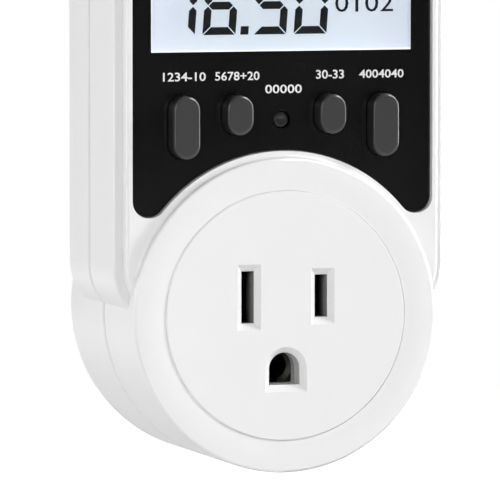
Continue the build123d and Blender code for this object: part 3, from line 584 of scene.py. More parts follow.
@dataclass(frozen=True)
class CappedKey:
    """Two-shot key: a grey satin cap on a near-black stem, with painted shade on its left side."""

    cap: Colour = (0.054, 0.054, 0.054)
    stem: Colour = (0.006, 0.006, 0.006)
    cap_depth: float = 0.55 * MM
    edge_share: float = 0.75
    left_shade_fade: Span = (-0.1, -0.75)
    rub_size: float = 3.5 * MM
    rubbed: float = 0.97
    roughness: float = 0.17
    stem_and_shade_roughness: float = 0.3
    grain_size: float = 0.14 * MM
    grain_gloss: float = 0.04
    grain_depth: float = 0.0006 * MM

    def material(self, name: str) -> bpy.types.Material:
        """Make the material of that name."""
        g = SurfaceGraph(name)
        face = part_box("key_left_outer")[0].y
        _, y, _ = g.axes()
        stem = y.ramp(face + self.cap_depth * self.edge_share, face + self.cap_depth)
        grain = g.noise(self.grain_size, detail=1.0)
        rub = g.noise(self.rub_size)
        cap = g.mix(rub, scaled(self.cap, self.rubbed), self.cap)
        normal = g.add("ShaderNodeNewGeometry", output="Normal")
        # Painted shade: faces turned to the left fade to the near-black stem colour.
        left = g.add("ShaderNodeSeparateXYZ", None, {0: normal}).ramp(*self.left_shade_fade)
        stem_and_painted_shade = stem.larger(left)
        gloss = grain.swing(self.grain_gloss) + self.stem_and_shade_roughness * stem_and_painted_shade
        return g.set(
            Base_Color=g.mix(stem_and_painted_shade, cap, self.stem),
            Roughness=self.roughness + gloss,
            Normal=g.bump(grain, self.grain_depth),
        )


@dataclass(frozen=True)
class Ink:
    """Printed or etched mark with a slightly uneven edge of gloss."""

    colour: Colour
    roughness: float = 0.5
    speck_size: float = 0.25 * MM
    speck_gloss: float = 0.1
    specked: float = 0.94

    def material(self, name: str) -> bpy.types.Material:
        """Make the material of that name."""
        g = SurfaceGraph(name)
        speck = g.noise(self.speck_size)
        return g.set(
            Base_Color=g.mix(speck, scaled(self.colour, self.specked), self.colour),
            Roughness=self.roughness + speck.swing(self.speck_gloss),
        )


@dataclass(frozen=True)
class SheetMetal:
    """Stamped or drawn metal with fine lines along one axis and faint tarnish."""

    colour: Colour
    tarnish: Colour
    roughness: float = 0.28
    along: Place = (1.0, 0.06, 1.0)
    line_size: float = 0.12 * MM
    line_gloss: float = 0.18
    line_depth: float = 0.001 * MM
    cloud_size: float = 2.5 * MM
    cloud_gloss: float = 0.1
    cloud_fade: Span = (0.45, 0.8)

    def material(self, name: str) -> bpy.types.Material:
        """Make the material of that name."""
        g = SurfaceGraph(name)
        lines = g.noise(self.line_size, detail=3.0, stretch=self.along)
        cloud = g.noise(self.cloud_size, detail=3.0)
        return g.set(
            Base_Color=g.mix(cloud.ramp(*self.cloud_fade), self.colour, self.tarnish),
            Metallic=1.0,
            Roughness=self.roughness + lines.swing(self.line_gloss) + cloud.swing(self.cloud_gloss),
            Normal=g.bump(lines, self.line_depth),
        )


@dataclass(frozen=True)
class BoardLacquer:
    """Green solder mask over copper tracks and a fibreglass weave."""

    mask: Colour = (0.012, 0.10, 0.035)
    track: Colour = (0.03, 0.19, 0.07)
    track_pitch: float = 2.54 * MM
    track_start: Span = (0.42, 0.46)
    track_end: Span = (0.7, 0.74)
    track_rise: float = 0.8
    cell_share: float = 0.4
    cell_mix: float = 0.8
    cell_shift: float = 2.0
    weave_pitch: float = 0.6 * MM
    weave_gloss: float = 0.05
    weave_rise: float = 0.1
    relief: float = 0.03 * MM
    roughness: float = 0.32
    coat: float = 0.3
    coat_roughness: float = 0.15

    def material(self, name: str) -> bpy.types.Material:
        """Make the material of that name."""
        g = SurfaceGraph(name)
        x, _, z = g.axes()
        scale = self.cell_share / self.track_pitch
        cell = g.add(
            "ShaderNodeTexVoronoi",
            {"distance": "CHEBYCHEV", "feature": "F1"},
            {"Vector": g.place, "Scale": scale, "Randomness": self.cell_mix},
        )
        turns = math.tau / self.weave_pitch
        runs = (x / self.track_pitch + cell * self.cell_shift).repeat()
        track = runs.ramp(*self.track_start) * (1.0 - runs.ramp(*self.track_end))
        weave = (x * turns).wave() * (z * turns).wave()
        return g.set(
            Base_Color=g.mix(track, self.mask, self.track),
            Roughness=self.roughness + self.weave_gloss * weave,
            Coat_Weight=self.coat,
            Coat_Roughness=self.coat_roughness,
            Normal=g.bump(track * self.track_rise + weave * self.weave_rise, self.relief),
        )


@dataclass(frozen=True)
class ShrinkSleeve:
    """Printed shrink sleeve with a paler stripe round a drawn can."""

    colour: Colour
    stripe: Colour
    centre_z: float
    stripe_width: float = 2.2 * MM
    roughness: float = 0.35
    wrinkle_size: float = 0.8 * MM
    wrinkle_stretch: Place = (0.2, 1.0, 1.0)
    wrinkle_gloss: float = 0.1
    wrinkle_depth: float = 0.01 * MM
    coat: float = 0.25

    def material(self, name: str) -> bpy.types.Material:
        """Make the material of that name."""
        g = SurfaceGraph(name)
        _, _, z = g.axes()
        wrinkle = g.noise(self.wrinkle_size, detail=3.0, stretch=self.wrinkle_stretch)
        mask = abs(z - self.centre_z) < self.stripe_width / 2
        return g.set(
            Base_Color=g.mix(mask, self.colour, self.stripe),
            Roughness=self.roughness + wrinkle.swing(self.wrinkle_gloss),
            Coat_Weight=self.coat,
            Normal=g.bump(wrinkle, self.wrinkle_depth),
        )


@dataclass(frozen=True)
class StripedRubber:
    """Soft strip of black conductive layers between clear grey ones."""

    black: Colour = (0.03, 0.03, 0.03)
    clear: Colour = (0.35, 0.33, 0.3)
    pitch: float = 0.18 * MM
    edge: Span = (0.45, 0.55)
    roughness: float = 0.6
    clear_roughness: float = 0.1

    def material(self, name: str) -> bpy.types.Material:
        """Make the material of that name."""
        g = SurfaceGraph(name)
        x, _, _ = g.axes()
        layer = (x / self.pitch).repeat().ramp(*self.edge)
        return g.set(
            Base_Color=g.mix(layer, self.black, self.clear),
            Roughness=self.roughness + self.clear_roughness * layer,
        )


WHITE = (0.82, 0.82, 0.82)

FINISHES = {
    "white_shell": SeamedPlastic(WHITE, roughness=0.32),
    "white_face": OutletPlastic(WHITE, roughness=0.32),
    "black_panel": GlossyPanel(),
    "clear_window": ClearSheet(),
    "grey_key": CappedKey(),
    "black_button": MouldedPlastic((0.03, 0.03, 0.03), roughness=0.16, mottle=0.06),
    "plunger": MouldedPlastic((0.015, 0.015, 0.015), roughness=0.5),
    "switch": MouldedPlastic((0.03, 0.03, 0.033), roughness=0.55),
    "display_glass": DisplayFilm(),
    "light_guide": MouldedPlastic((0.85, 0.9, 0.95), roughness=0.2, coat=0.5),
    "frame_plastic": MouldedPlastic((0.75, 0.75, 0.74), roughness=0.5),
    "lamp": MouldedPlastic((0.9, 0.85, 0.55), roughness=0.25, coat=0.5),
    "rubber_strip": StripedRubber(),
    "board": BoardLacquer(),
    "chip": MouldedPlastic((0.018, 0.018, 0.02), roughness=0.6, grain_depth=0.006 * MM),
    "can": SheetMetal((0.72, 0.71, 0.69), (0.5, 0.49, 0.46), roughness=0.3),
    "film_capacitor": MouldedPlastic((0.6, 0.42, 0.03), roughness=0.45),
    "foil_sleeve": ShrinkSleeve((0.02, 0.022, 0.06), (0.45, 0.47, 0.5), centre_z=69.5 * MM),
    "disc_ceramic": MouldedPlastic(
        (0.03, 0.1, 0.4), roughness=0.25, coat=0.6, grain_depth=0.01 * MM
    ),
    "fuse_case": MouldedPlastic((0.03, 0.03, 0.03), roughness=0.4),
    "battery_sleeve": ShrinkSleeve((0.03, 0.22, 0.09), (0.6, 0.6, 0.58), centre_z=21.5 * MM),
    "shunt_metal": SheetMetal((0.55, 0.42, 0.34), (0.35, 0.25, 0.2), roughness=0.35),
    "header_plastic": MouldedPlastic((0.02, 0.02, 0.02), roughness=0.5),
    # Contacts coloured dark grey as painted shade deep inside the outlet's openings.
    "contact_brass": SheetMetal((0.1, 0.092, 0.08), (0.045, 0.041, 0.037), roughness=0.45),
    "plug_brass": SheetMetal((0.78, 0.74, 0.66), (0.6, 0.55, 0.46), roughness=0.2),
    "block_plastic": OutletPlastic((0.8, 0.8, 0.79), roughness=0.5),
    "screw_steel": SheetMetal((0.62, 0.61, 0.6), (0.45, 0.44, 0.42), roughness=0.3),
    "plate": SheetMetal((0.7, 0.7, 0.7), (0.6, 0.6, 0.6), roughness=0.35, along=(0.05, 1.0, 1.0)),
    "figure_ink": Ink((0.007, 0.0075, 0.0085)),
    "white_ink": Ink((0.8, 0.8, 0.8)),
    "plate_ink": Ink((0.06, 0.062, 0.066)),
}


class Palette:
    """Makes each finish's material once and lends it to every piece that has it."""

    def __init__(self) -> None:
        """Start with no material made."""
        self._made: dict[str, bpy.types.Material] = {}

    def get(self, finish: str) -> bpy.types.Material:
        """The material of a finish, which is named for its slot in the record or for its ink."""
        if finish not in self._made:
            self._made[finish] = FINISHES[finish].material(finish)
        return self._made[finish]

    def dress(self, obj: bpy.types.Object, finish: str) -> None:
        """Give an object one finish all over."""
        material = self.get(finish)
        if not obj.material_slots:
            obj.data.materials.append(material)
        for place in obj.material_slots:
            place.material = material


palette = Palette()


def dress_nodes() -> None:
    """Give every node of the frame the finish of its slot in the record."""
    for part in frame["record"]["subparts"]:
        palette.dress(frame["nodes"][part["node"]], part["material_slot"])
        log.info("%s dressed as %s", part["node"], part["material_slot"])


# Meshes


def put_in_order(bm: bmesh.types.BMesh) -> None:
    """Sort corners by place, and edges and faces by corners, because a boolean mixes them."""
    for rank, vertex in enumerate(sorted(bm.verts, key=lambda v: tuple(v.co))):
        vertex.index = rank
    bm.verts.sort()
    for parts in (bm.edges, bm.faces):
        for rank, part in enumerate(sorted(parts, key=lambda p: sorted(v.index for v in p.verts))):
            part.index = rank
        parts.sort()


def shade(bm: bmesh.types.BMesh, smooth_below: float) -> None:
    """Shade faces that meet at less than an angle in degrees as one."""
    for face in bm.faces:
        face.smooth = True
    for edge in bm.edges:
        flat = edge.calc_face_angle(0.0) < math.radians(smooth_below)
        edge.smooth = len(edge.link_faces) != 2 or flat


def piece_of(bm: bmesh.types.BMesh, name: str) -> bpy.types.Object:
    """Turn a finished mesh, in place, into a linked object of that name at the origin."""
    mesh = bpy.data.meshes.new(name)
    bmesh.ops.recalc_face_normals(bm, faces=bm.faces)
    shade(bm, smooth_below=35.0)
    bm.to_mesh(mesh)
    bm.free()
    obj = bpy.data.objects.new(name, mesh)
    bpy.context.scene.collection.objects.link(obj)
    return obj


def add_prism(bm: bmesh.types.BMesh, outline: Iterable[Point], front: float, back: float) -> None:
    """Add a prism whose outline is X and Z, between two places along Y."""
    points = list(outline)
    near = [bm.verts.new((x, front, z)) for x, z in points]
    far = [bm.verts.new((x, back, z)) for x, z in points]
    bm.faces.new(near)
    bm.faces.new(reversed(far))
    for i in range(len(points)):
        j = (i + 1) % len(points)
        bm.faces.new((near[i], far[i], far[j], near[j]))


def add_frame(
    bm: bmesh.types.BMesh, low: Point, high: Point, line: float, front: float, back: float
) -> None:
    """Add a rectangular line of that width, outside the box from low to high in X and Z."""
    (x0, z0), (x1, z1) = low, high
    bars = [
        ((x0 - line, z0 - line), (x1 + line, z0)),
        ((x0 - line, z1), (x1 + line, z1 + line)),
        ((x0 - line, z0), (x0, z1)),
        ((x1, z0), (x1 + line, z1)),
    ]
    for (a, c), (b, d) in bars:
        add_prism(bm, [(a, c), (b, c), (b, d), (a, d)], front, back)


@dataclass(frozen=True)
class Lettering:
    """Plain characters that fill a box on a flat face."""

    text: str
    low: Point
    high: Point
    bold: float = 0.0

    def add_to(
        self, bm: bmesh.types.BMesh, face: float, thickness: float, way: Way = Way.TO_USER
    ) -> None:
        """Add the characters to a mesh.

        Args:
            bm: the mesh that gets them.
            face: the place along Y of the surface they stand on.
            thickness: how far they stand out of it.
            way: which way the surface looks.
        """
        curve = bpy.data.curves.new(self.text, "FONT")
        curve.body = self.text
        curve.resolution_u = 3
        curve.extrude = 0.5
        curve.offset = self.bold
        writer = bpy.data.objects.new(self.text, curve)
        mesh = bpy.data.meshes.new_from_object(writer)
        xs = [v.co.x for v in mesh.vertices]
        ys = [v.co.y for v in mesh.vertices]
        across = (self.high[0] - self.low[0]) / (max(xs) - min(xs))
        up = (self.high[1] - self.low[1]) / (max(ys) - min(ys))
        side = way.value
        start = self.low[0] if way is Way.TO_USER else self.high[0]
        for v in mesh.vertices:
            x = start - side * (v.co.x - min(xs)) * across
            z = self.low[1] + (v.co.y - min(ys)) * up
            v.co = (x, face + side * thickness * (v.co.z + 0.5), z)
        bm.from_mesh(mesh)
        bpy.data.objects.remove(writer)
        bpy.data.curves.remove(curve)
        bpy.data.meshes.remove(mesh)


def loose_parts(node: str) -> list[list[Vector]]:
    """Corner places of each separate solid of a node, in the order of the node's mesh."""
    bm = bmesh.new()
    bm.from_mesh(frame["nodes"][node].data)
    bmesh.ops.remove_doubles(bm, verts=bm.verts, dist=1e-6)
    seen: set[bmesh.types.BMVert] = set()
    parts: list[list[Vector]] = []
    for first in bm.verts:
        if first in seen:
            continue
        seen.add(first)
        waiting = [first]
        found: list[Vector] = []
        while waiting:
            vertex = waiting.pop()
            found.append(vertex.co.copy())
            for link in vertex.link_edges:
                other = link.other_vert(vertex)
                if other not in seen:
                    seen.add(other)
                    waiting.append(other)
        parts.append(found)
    bm.free()
    return parts


def put_on_casing(obj: bpy.types.Object, slot: str, finish: str | None = None) -> None:
    """Dress a new piece and let it ride on the casing.

    Args:
        obj: the piece.
        slot: its slot in the record.
        finish: its finish, where that isn't the slot's own.
    """
    palette.dress(obj, finish or slot)
    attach(obj, CASING)
    log.info("%s made", obj.name)


# Display figures

SEGMENTS_LIT = {
    "0": "abcdef",
    "1": "bc",
    "2": "abged",
    "3": "abgcd",
    "4": "fgbc",
    "5": "afgcd",
    "6": "afgedc",
    "7": "abc",
    "8": "abcdefg",
    "9": "abcdfg",
}


@dataclass
class FigureRow:
    """A row of seven-segment figures, leaning to the right."""

    text: str
    left: float
    base: float
    width: float = 5.7 * MM
    tall: float = 9.6 * MM
    bar: float = 1.28 * MM
    gap: float = 0.13 * MM
    pitch: float = 7.0 * MM
    lean: float = 0.075
    dot: float = 1.38 * MM
    dot_room: float = 1.76 * MM
    colon: Span = (0.25, 0.65)

    def outlines(self) -> list[list[Point]]:
        """Outlines of every lit segment and dot, in place."""
        shapes: list[list[Point]] = []
        x = self.left
        for sign in self.text:
            if sign in ".:":
                x_dot = x - (self.pitch - self.width) / 2 - self.dot / 2 + self.dot_room / 2
                for share in (0.0,) if sign == "." else self.colon:
                    shapes.append(self._placed(self._square(), x_dot, self.tall * share))
                x += self.dot_room
                continue
            for letter in SEGMENTS_LIT[sign]:
                shapes.append(self._placed(self._segment(letter), x, 0.0))
            x += self.pitch
        return shapes

    def _square(self) -> list[Point]:
        """Outline of a dot."""
        return [(0, 0), (self.dot, 0), (self.dot, self.dot), (0, self.dot)]

    def _segment(self, letter: str) -> list[Point]:
        """Outline of one segment in the figure's own box."""
        w, t, b, g = self.width, self.tall, self.bar, self.gap
        if letter == "a":
            return [(g, t), (w - g, t), (w - g - b, t - b), (g + b, t - b)]
        if letter == "d":
            return [(g, 0), (g + b, b), (w - g - b, b), (w - g, 0)]
        if letter == "g":
            m = t / 2
            return [
                (b / 2 + g, m),
                (b + g, m + b / 2),
                (w - b - g, m + b / 2),
                (w - b / 2 - g, m),
                (w - b - g, m - b / 2),
                (b + g, m - b / 2),
            ]
        top = t / 2 - b / 2 - g
        low = [(0, g), (b, b + g), (b, top), (b / 2, t / 2 - g), (0, top)]
        if letter in "bf":
            low = [(x, t - z) for x, z in low]
        if letter in "bc":
            low = [(w - x, z) for x, z in low]
        return low

    def _placed(self, shape: list[Point], x: float, z: float) -> list[Point]:
        """Lean a shape and move it to its place."""
        return [(x + px + self.lean * (pz + z), self.base + z + pz) for px, pz in shape]


@dataclass
class Display:
    """What the liquid crystal display behind the window shows."""

    film_thickness: float = 0.03 * MM
    ink_gap: float = 0.01 * MM
    figures: tuple[FigureRow, ...] = (
        FigureRow("16.50", left=-20.2 * MM, base=46.22 * MM),
        FigureRow(
            "10:30",
            left=-20.0 * MM,
            base=67.5 * MM,
            width=3.3 * MM,
            tall=5.8 * MM,
            bar=0.75 * MM,
            gap=0.08 * MM,
            pitch=4.3 * MM,
            dot=0.75 * MM,
            dot_room=1.6 * MM,
        ),
    )
    words: tuple[Lettering, ...] = (
        Lettering("0102", (9.8 * MM, 49.75 * MM), (19.9 * MM, 52.7 * MM)),
        Lettering("00", (3.2 * MM, 68.6 * MM), (7.2 * MM, 71.2 * MM)),
        Lettering("11", (12.0 * MM, 68.6 * MM), (16.0 * MM, 71.2 * MM)),
    )

    def build(self) -> None:
        """Make the display's pieces."""
        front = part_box("lcd_glass")[0].y - self.ink_gap
        bm = bmesh.new()
        for row in self.figures:
            for outline in row.outlines():
                add_prism(bm, outline, front - self.film_thickness, front)
        for word in self.words:
            word.add_to(bm, front, self.film_thickness)
        self.dress(piece_of(bm, "display_figures"))

    def dress(self, figures: bpy.types.Object) -> None:
        """Ink the figures and let them ride."""
        put_on_casing(figures, "display_glass", "figure_ink")


# Print


@dataclass
class PanelPrint:
    """White marks over the keys and the reset button: plain numbers."""

    thickness: float = 0.02 * MM
    marks: tuple[Lettering, ...] = (
        Lettering("1234-10", (-20.44 * MM, 38.75 * MM), (-13.1 * MM, 40.2 * MM), bold=0.012),
        Lettering("5678+20", (-11.5 * MM, 38.77 * MM), (-3.85 * MM, 40.22 * MM), bold=0.012),
        Lettering("00000", (-2.87 * MM, 36.55 * MM), (3.48 * MM, 37.98 * MM), bold=0.012),
        Lettering("30-33", (5.95 * MM, 38.84 * MM), (10.8 * MM, 40.3 * MM), bold=0.012),
        Lettering("4004040", (13.45 * MM, 38.87 * MM), (21.2 * MM, 40.25 * MM), bold=0.012),
    )

    def build(self) -> None:
        """Make the marks."""
        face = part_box("display_panel")[0].y
        bm = bmesh.new()
        for mark in self.marks:
            mark.add_to(bm, face, self.thickness)
        self.dress(piece_of(bm, "panel_marks"))

    def dress(self, marks: bpy.types.Object) -> None:
        """Ink the marks and let them ride."""
        put_on_casing(marks, "white_face", "white_ink")


@dataclass
class LabelPrint:
    """Frame, rules and plain numbers of the plate on the back."""

    thickness: float = 0.012 * MM
    margin: float = 1.6 * MM
    line: float = 0.25 * MM
    rows: int = 5
    row_height: float = 2.0 * MM
    row_share: float = 0.72
    fewest: int = 6
    most: int = 8

    def build(self) -> None:
        """Make the print."""
        low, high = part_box("rating_label")
        face = high.y
        x0, x1 = low.x + self.margin, high.x - self.margin
        z0, z1 = low.z + self.margin, high.z - self.margin
        bm = bmesh.new()
        add_frame(bm, (x0, z0), (x1, z1), self.line, face, face + self.thickness)
        step = (z1 - z0) / (self.rows + 1)
        for row in range(1, self.rows + 1):
            z = z1 - row * step
            rule = [(x0, z), (x1, z), (x1, z + self.line / 2), (x0, z + self.line / 2)]
            add_prism(bm, rule, face, face + self.thickness)
            digits = self._digits(row)
            reach = (x1 - x0) * self.row_share * len(digits) / self.most
            low_corner = (x1 - self.margin - reach, z + step / 2 - self.row_height / 2)
            high_corner = (x1 - self.margin, z + step / 2 + self.row_height / 2)
            Lettering(digits, low_corner, high_corner).add_to(bm, face, self.thickness, Way.TO_WALL)
        self.dress(piece_of(bm, "label_print"))

    def _digits(self, row: int) -> str:
        """Plain digits of one row, six to eight of them."""
        count = self.fewest + row % (self.most - self.fewest + 1)
        return "".join(str((row * 3 + i * row) % 10) for i in range(count))

    def dress(self, print_piece: bpy.types.Object) -> None:
        """Ink the print and let it ride."""
        put_on_casing(print_piece, "plate", "plate_ink")


# Trim


@dataclass
class InsertEdge:
    """Rounded edge of the outlet's face, which closes the gap to the ring round it."""

    ring_width: float = 5.3 * MM
    fall: float = 0.05 * MM
    depth: float = 0.6 * MM
    steps: int = 256

    def build(self) -> None:
        """Make the edge as a closed ring."""
        low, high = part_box("socket_insert")
        middle = ((low.x + high.x) / 2, (low.z + high.z) / 2)
        inner = (high.x - low.x) / 2
        outer = -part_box("front_shell")[0].z - self.ring_width
        profile = (
            (inner, low.y),
            (outer, low.y + self.fall),
            (outer, low.y + self.depth),
            (inner, low.y + self.depth),
        )
        bm = bmesh.new()
        rings = []
        for step in range(self.steps):
            turn = math.tau * step / self.steps
            across, up = math.cos(turn), math.sin(turn)
            places = [(middle[0] + r * across, y, middle[1] + r * up) for r, y in profile]
            rings.append([bm.verts.new(place) for place in places])
        for ring, after in zip(rings, rings[1:] + rings[:1]):
            for i in range(len(profile)):
                j = (i + 1) % len(profile)
                bm.faces.new((ring[i], ring[j], after[j], after[i]))
        self.dress(piece_of(bm, "insert_edge"))

    def dress(self, edge: bpy.types.Object) -> None:
        """Give the edge the face's plastic and let it ride."""
        put_on_casing(edge, "white_face")


# Fastenings and joints of the boards

THROUGH_PARTS = (
    "fuse",
    "varistor",
    "x_capacitor",
    "smoothing_capacitor",
    "backup_battery",
    "shunt",
    "line_contact",
    "neutral_contact",
)
METER_PARTS = (
    "fuse",
    "varistor",
    "x_capacitor",
    "smoothing_capacitor",
    "backup_battery",
    "meter_chip",
    "resistors",
    "rectifier_diodes",
)


@dataclass
class Screws:
    """Thread-forming screws with a pan head and a cross recess, in place of a node's plain ones."""

    node: str
    head_radius: float
    head_tall: float
    shank_radius: float
    pitch: float = 0.8 * MM
    sides: int = 32
    core_share: float = 0.78
    ridge_share: float = 0.21
    ridge_sides: int = 3
    turn_steps: int = 14
    tip_share: float = 0.12
    tip_end: float = 0.35
    bare_ends: Span = (0.5, 1.1)
    crown_share: float = 0.74
    crown_tall: float = 0.4
    recess_long: float = 1.15
    recess_wide: float = 0.26
    recess_deep: float = 0.6

    def build(self) -> None:
        """Make every screw of the node."""
        spots, length = self._spots()
        g = Repeater(self.node + "_tree")
        head = g.size("Head Radius", self.head_radius)
        tall = g.size("Head Height", self.head_tall)
        shank = g.size("Shank Radius", self.shank_radius)
        reach = g.size("Length", length)
        pitch = g.size("Thread Pitch", self.pitch)
        core = shank * self.core_share
        tip = reach * self.tip_share
        body = g.cylinder(core, 0.0, reach - tip, self.sides // 2)
        point = g.cone(core, core * self.tip_end, reach - tip, tip, self.sides // 2)
        threaded = reach - tip * sum(self.bare_ends)
        path = g.add(
            "GeometryNodeCurveSpiral",
            None,
            {
                "Resolution": self.turn_steps,
                "Rotations": threaded / pitch,
                "Start Radius": core,
                "End Radius": core,
                "Height": threaded,
            },
        )
        profile = {"Resolution": self.ridge_sides, "Radius": shank * self.ridge_share}
        ridge = g.add("GeometryNodeCurvePrimitiveCircle", {"mode": "RADIUS"}, profile)
        sweep = {"Curve": path, "Profile Curve": ridge, "Fill Caps": True}
        thread = g.add("GeometryNodeCurveToMesh", None, sweep)
        lifted = g.moved(thread, g.vector(0.0, 0.0, tip * self.bare_ends[0]))
        joined = [body, point, lifted, self._head(g, head, tall)]
        shape = g.add("GeometryNodeJoinGeometry", None, {0: joined})
        self.dress(g.run(shape, spots, self.node + "_threaded", "screw_steel"))

    def _head(self, g: Repeater, radius: Wire, tall: Wire) -> Wire:
        """Pan head below the seat, with its recess cut out."""
        top, crown_tall = tall * -1.0, tall * self.crown_tall
        flat = g.cylinder(radius, top + crown_tall, tall - crown_tall, self.sides)
        crown = g.cone(radius * self.crown_share, radius, top, crown_tall, self.sides)
        joined = g.add("GeometryNodeMeshBoolean", {"operation": "UNION"}, {"Mesh 2": [flat, crown]})
        long, wide = radius * self.recess_long, radius * self.recess_wide
        cuts = []
        for x, y in ((long, wide), (wide, long)):
            size = g.vector(x, y, tall * (2 * self.recess_deep))
            bar = g.add("GeometryNodeMeshCube", None, {"Size": size})
            cuts.append(g.moved(bar, g.vector(0.0, 0.0, top)))
        recessed = {"Mesh 1": joined, "Mesh 2": cuts}
        return g.add("GeometryNodeMeshBoolean", {"operation": "DIFFERENCE"}, recessed)

    def _spots(self) -> tuple[list[Spot], float]:
        """Find the screws in the node's mesh.

        Returns:
            Where each head seats and which way its tip points, and the length below the head.
        """
        spots: list[Spot] = []
        length = 0.0
        for part in loose_parts(self.node):
            x = (min(p.x for p in part) + max(p.x for p in part)) / 2
            z = (min(p.z for p in part) + max(p.z for p in part)) / 2
            low, high = min(p.y for p in part), max(p.y for p in part)
            wide = [p.y for p in part if math.hypot(p.x - x, p.z - z) > 0.9 * self.head_radius]
            head_behind = sum(wide) / len(wide) > (low + high) / 2
            way = Way.TO_USER if head_behind else Way.TO_WALL
            seat = high - self.head_tall if head_behind else low + self.head_tall
            spots.append(Spot((x, seat, z), way))
            length = max(length, high - low - self.head_tall)
        return spots, length

    def dress(self, screws: bpy.types.Object) -> None:
        """Let the screws ride in place of the node."""
        put_on_casing(screws, "screw_steel")
        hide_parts(self.node)


@dataclass
class Solder:
    """Solder cones round the leads that come through a board."""

    board: str
    nodes: tuple[str, ...]
    way: Way
    tall: float = 0.6 * MM
    rim: float = 0.42 * MM
    sides: int = 14
    neck_share: float = 0.62
    top_share: float = 0.45
    foot_share: float = 0.35
    near: float = 1.6 * MM
    clear: float = 0.3 * MM

    def build(self) -> None:
        """Make the board's joints."""
        g = Repeater(self.board + "_solder_tree")
        tall = g.size("Height", self.tall)
        foot_tall = tall * self.foot_share
        foot = g.cone(1.0, self.neck_share, 0.0, foot_tall, self.sides)
        neck = g.cone(self.neck_share, self.top_share, foot_tall, tall - foot_tall, self.sides)
        shape = g.add("GeometryNodeJoinGeometry", None, {0: [foot, neck]})
        self.dress(g.run(shape, self._spots(), self.board + "_solder", "can"))

    def _spots(self) -> list[Spot]:
        """Where leads end beyond the board, and how wide they are."""
        low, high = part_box(self.board)
        surface = high.y if self.way is Way.TO_WALL else low.y
        spots: list[Spot] = []
        for node in self.nodes:
            corners = [v.co for v in frame["nodes"][node].data.vertices]
            ends = [c for c in corners if (c.y - surface) * self.way.value > self.clear]
            for group in self._groups(ends):
                xs, zs = [c.x for c in group], [c.z for c in group]
                middle = ((min(xs) + max(xs)) / 2, surface, (min(zs) + max(zs)) / 2)
                half = max(max(xs) - min(xs), max(zs) - min(zs)) / 2
                spots.append(Spot(middle, self.way, half + self.rim))
        return spots

    def _groups(self, ends: list[Vector]) -> list[list[Vector]]:
        """Sort the corners of the leads' ends by the lead that they belong to."""
        groups: list[list[Vector]] = []
        for c in ends:
            for group in groups:
                if any(math.hypot(c.x - o.x, c.z - o.z) < self.near for o in group):
                    group.append(c)
                    break
            else:
                groups.append([c])
        return groups

    def dress(self, joints: bpy.types.Object) -> None:
        """Let the joints ride."""
        put_on_casing(joints, "can")


@dataclass
class BoardPrint:
    """White outlines round the components of a board."""

    board: str
    nodes: tuple[str, ...]
    way: Way
    line: float = 0.16 * MM
    room: float = 0.35 * MM
    thickness: float = 0.015 * MM

    def build(self) -> None:
        """Make the outlines."""
        low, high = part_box(self.board)
        face = low.y if self.way is Way.TO_USER else high.y
        edge = face + self.way.value * self.thickness
        bm = bmesh.new()
        for node in self.nodes:
            for part in loose_parts(node):
                xs, zs = [p.x for p in part], [p.z for p in part]
                corner = (min(xs) - self.room, min(zs) - self.room)
                far = (max(xs) + self.room, max(zs) + self.room)
                add_frame(bm, corner, far, self.line, face, edge)
        side = "front" if self.way is Way.TO_USER else "back"
        self.dress(piece_of(bm, f"{self.board}_print_{side}"))

    def dress(self, outlines: bpy.types.Object) -> None:
        """Ink the outlines and let them ride."""
        put_on_casing(outlines, "frame_plastic")


# Studio


@dataclass
class SoftLight:
    """A square or upright soft light that is aimed at the object; its power is in watts."""

    name: str
    place: Place
    width: float
    tall: float
    power: float
    shine: Shine = Shine.ALL
    aim: Place = (0.0, -0.02, 0.03)

    def build(self) -> None:
        """Add the light."""
        data = bpy.data.lights.new(self.name, "AREA")
        data.shape = "RECTANGLE"
        data.size, data.size_y = self.width, self.tall
        data.energy = self.power
        lamp = bpy.data.objects.new(self.name, data)
        lamp.visible_camera = False
        lamp.visible_diffuse = self.shine is not Shine.MIRRORED
        lamp.visible_glossy = self.shine is not Shine.MATT
        bpy.context.scene.collection.objects.link(lamp)
        turn = (Vector(self.aim) - Vector(self.place)).to_track_quat("-Z", "Y")
        lamp.matrix_world = Matrix.Translation(self.place) @ turn.to_matrix().to_4x4()


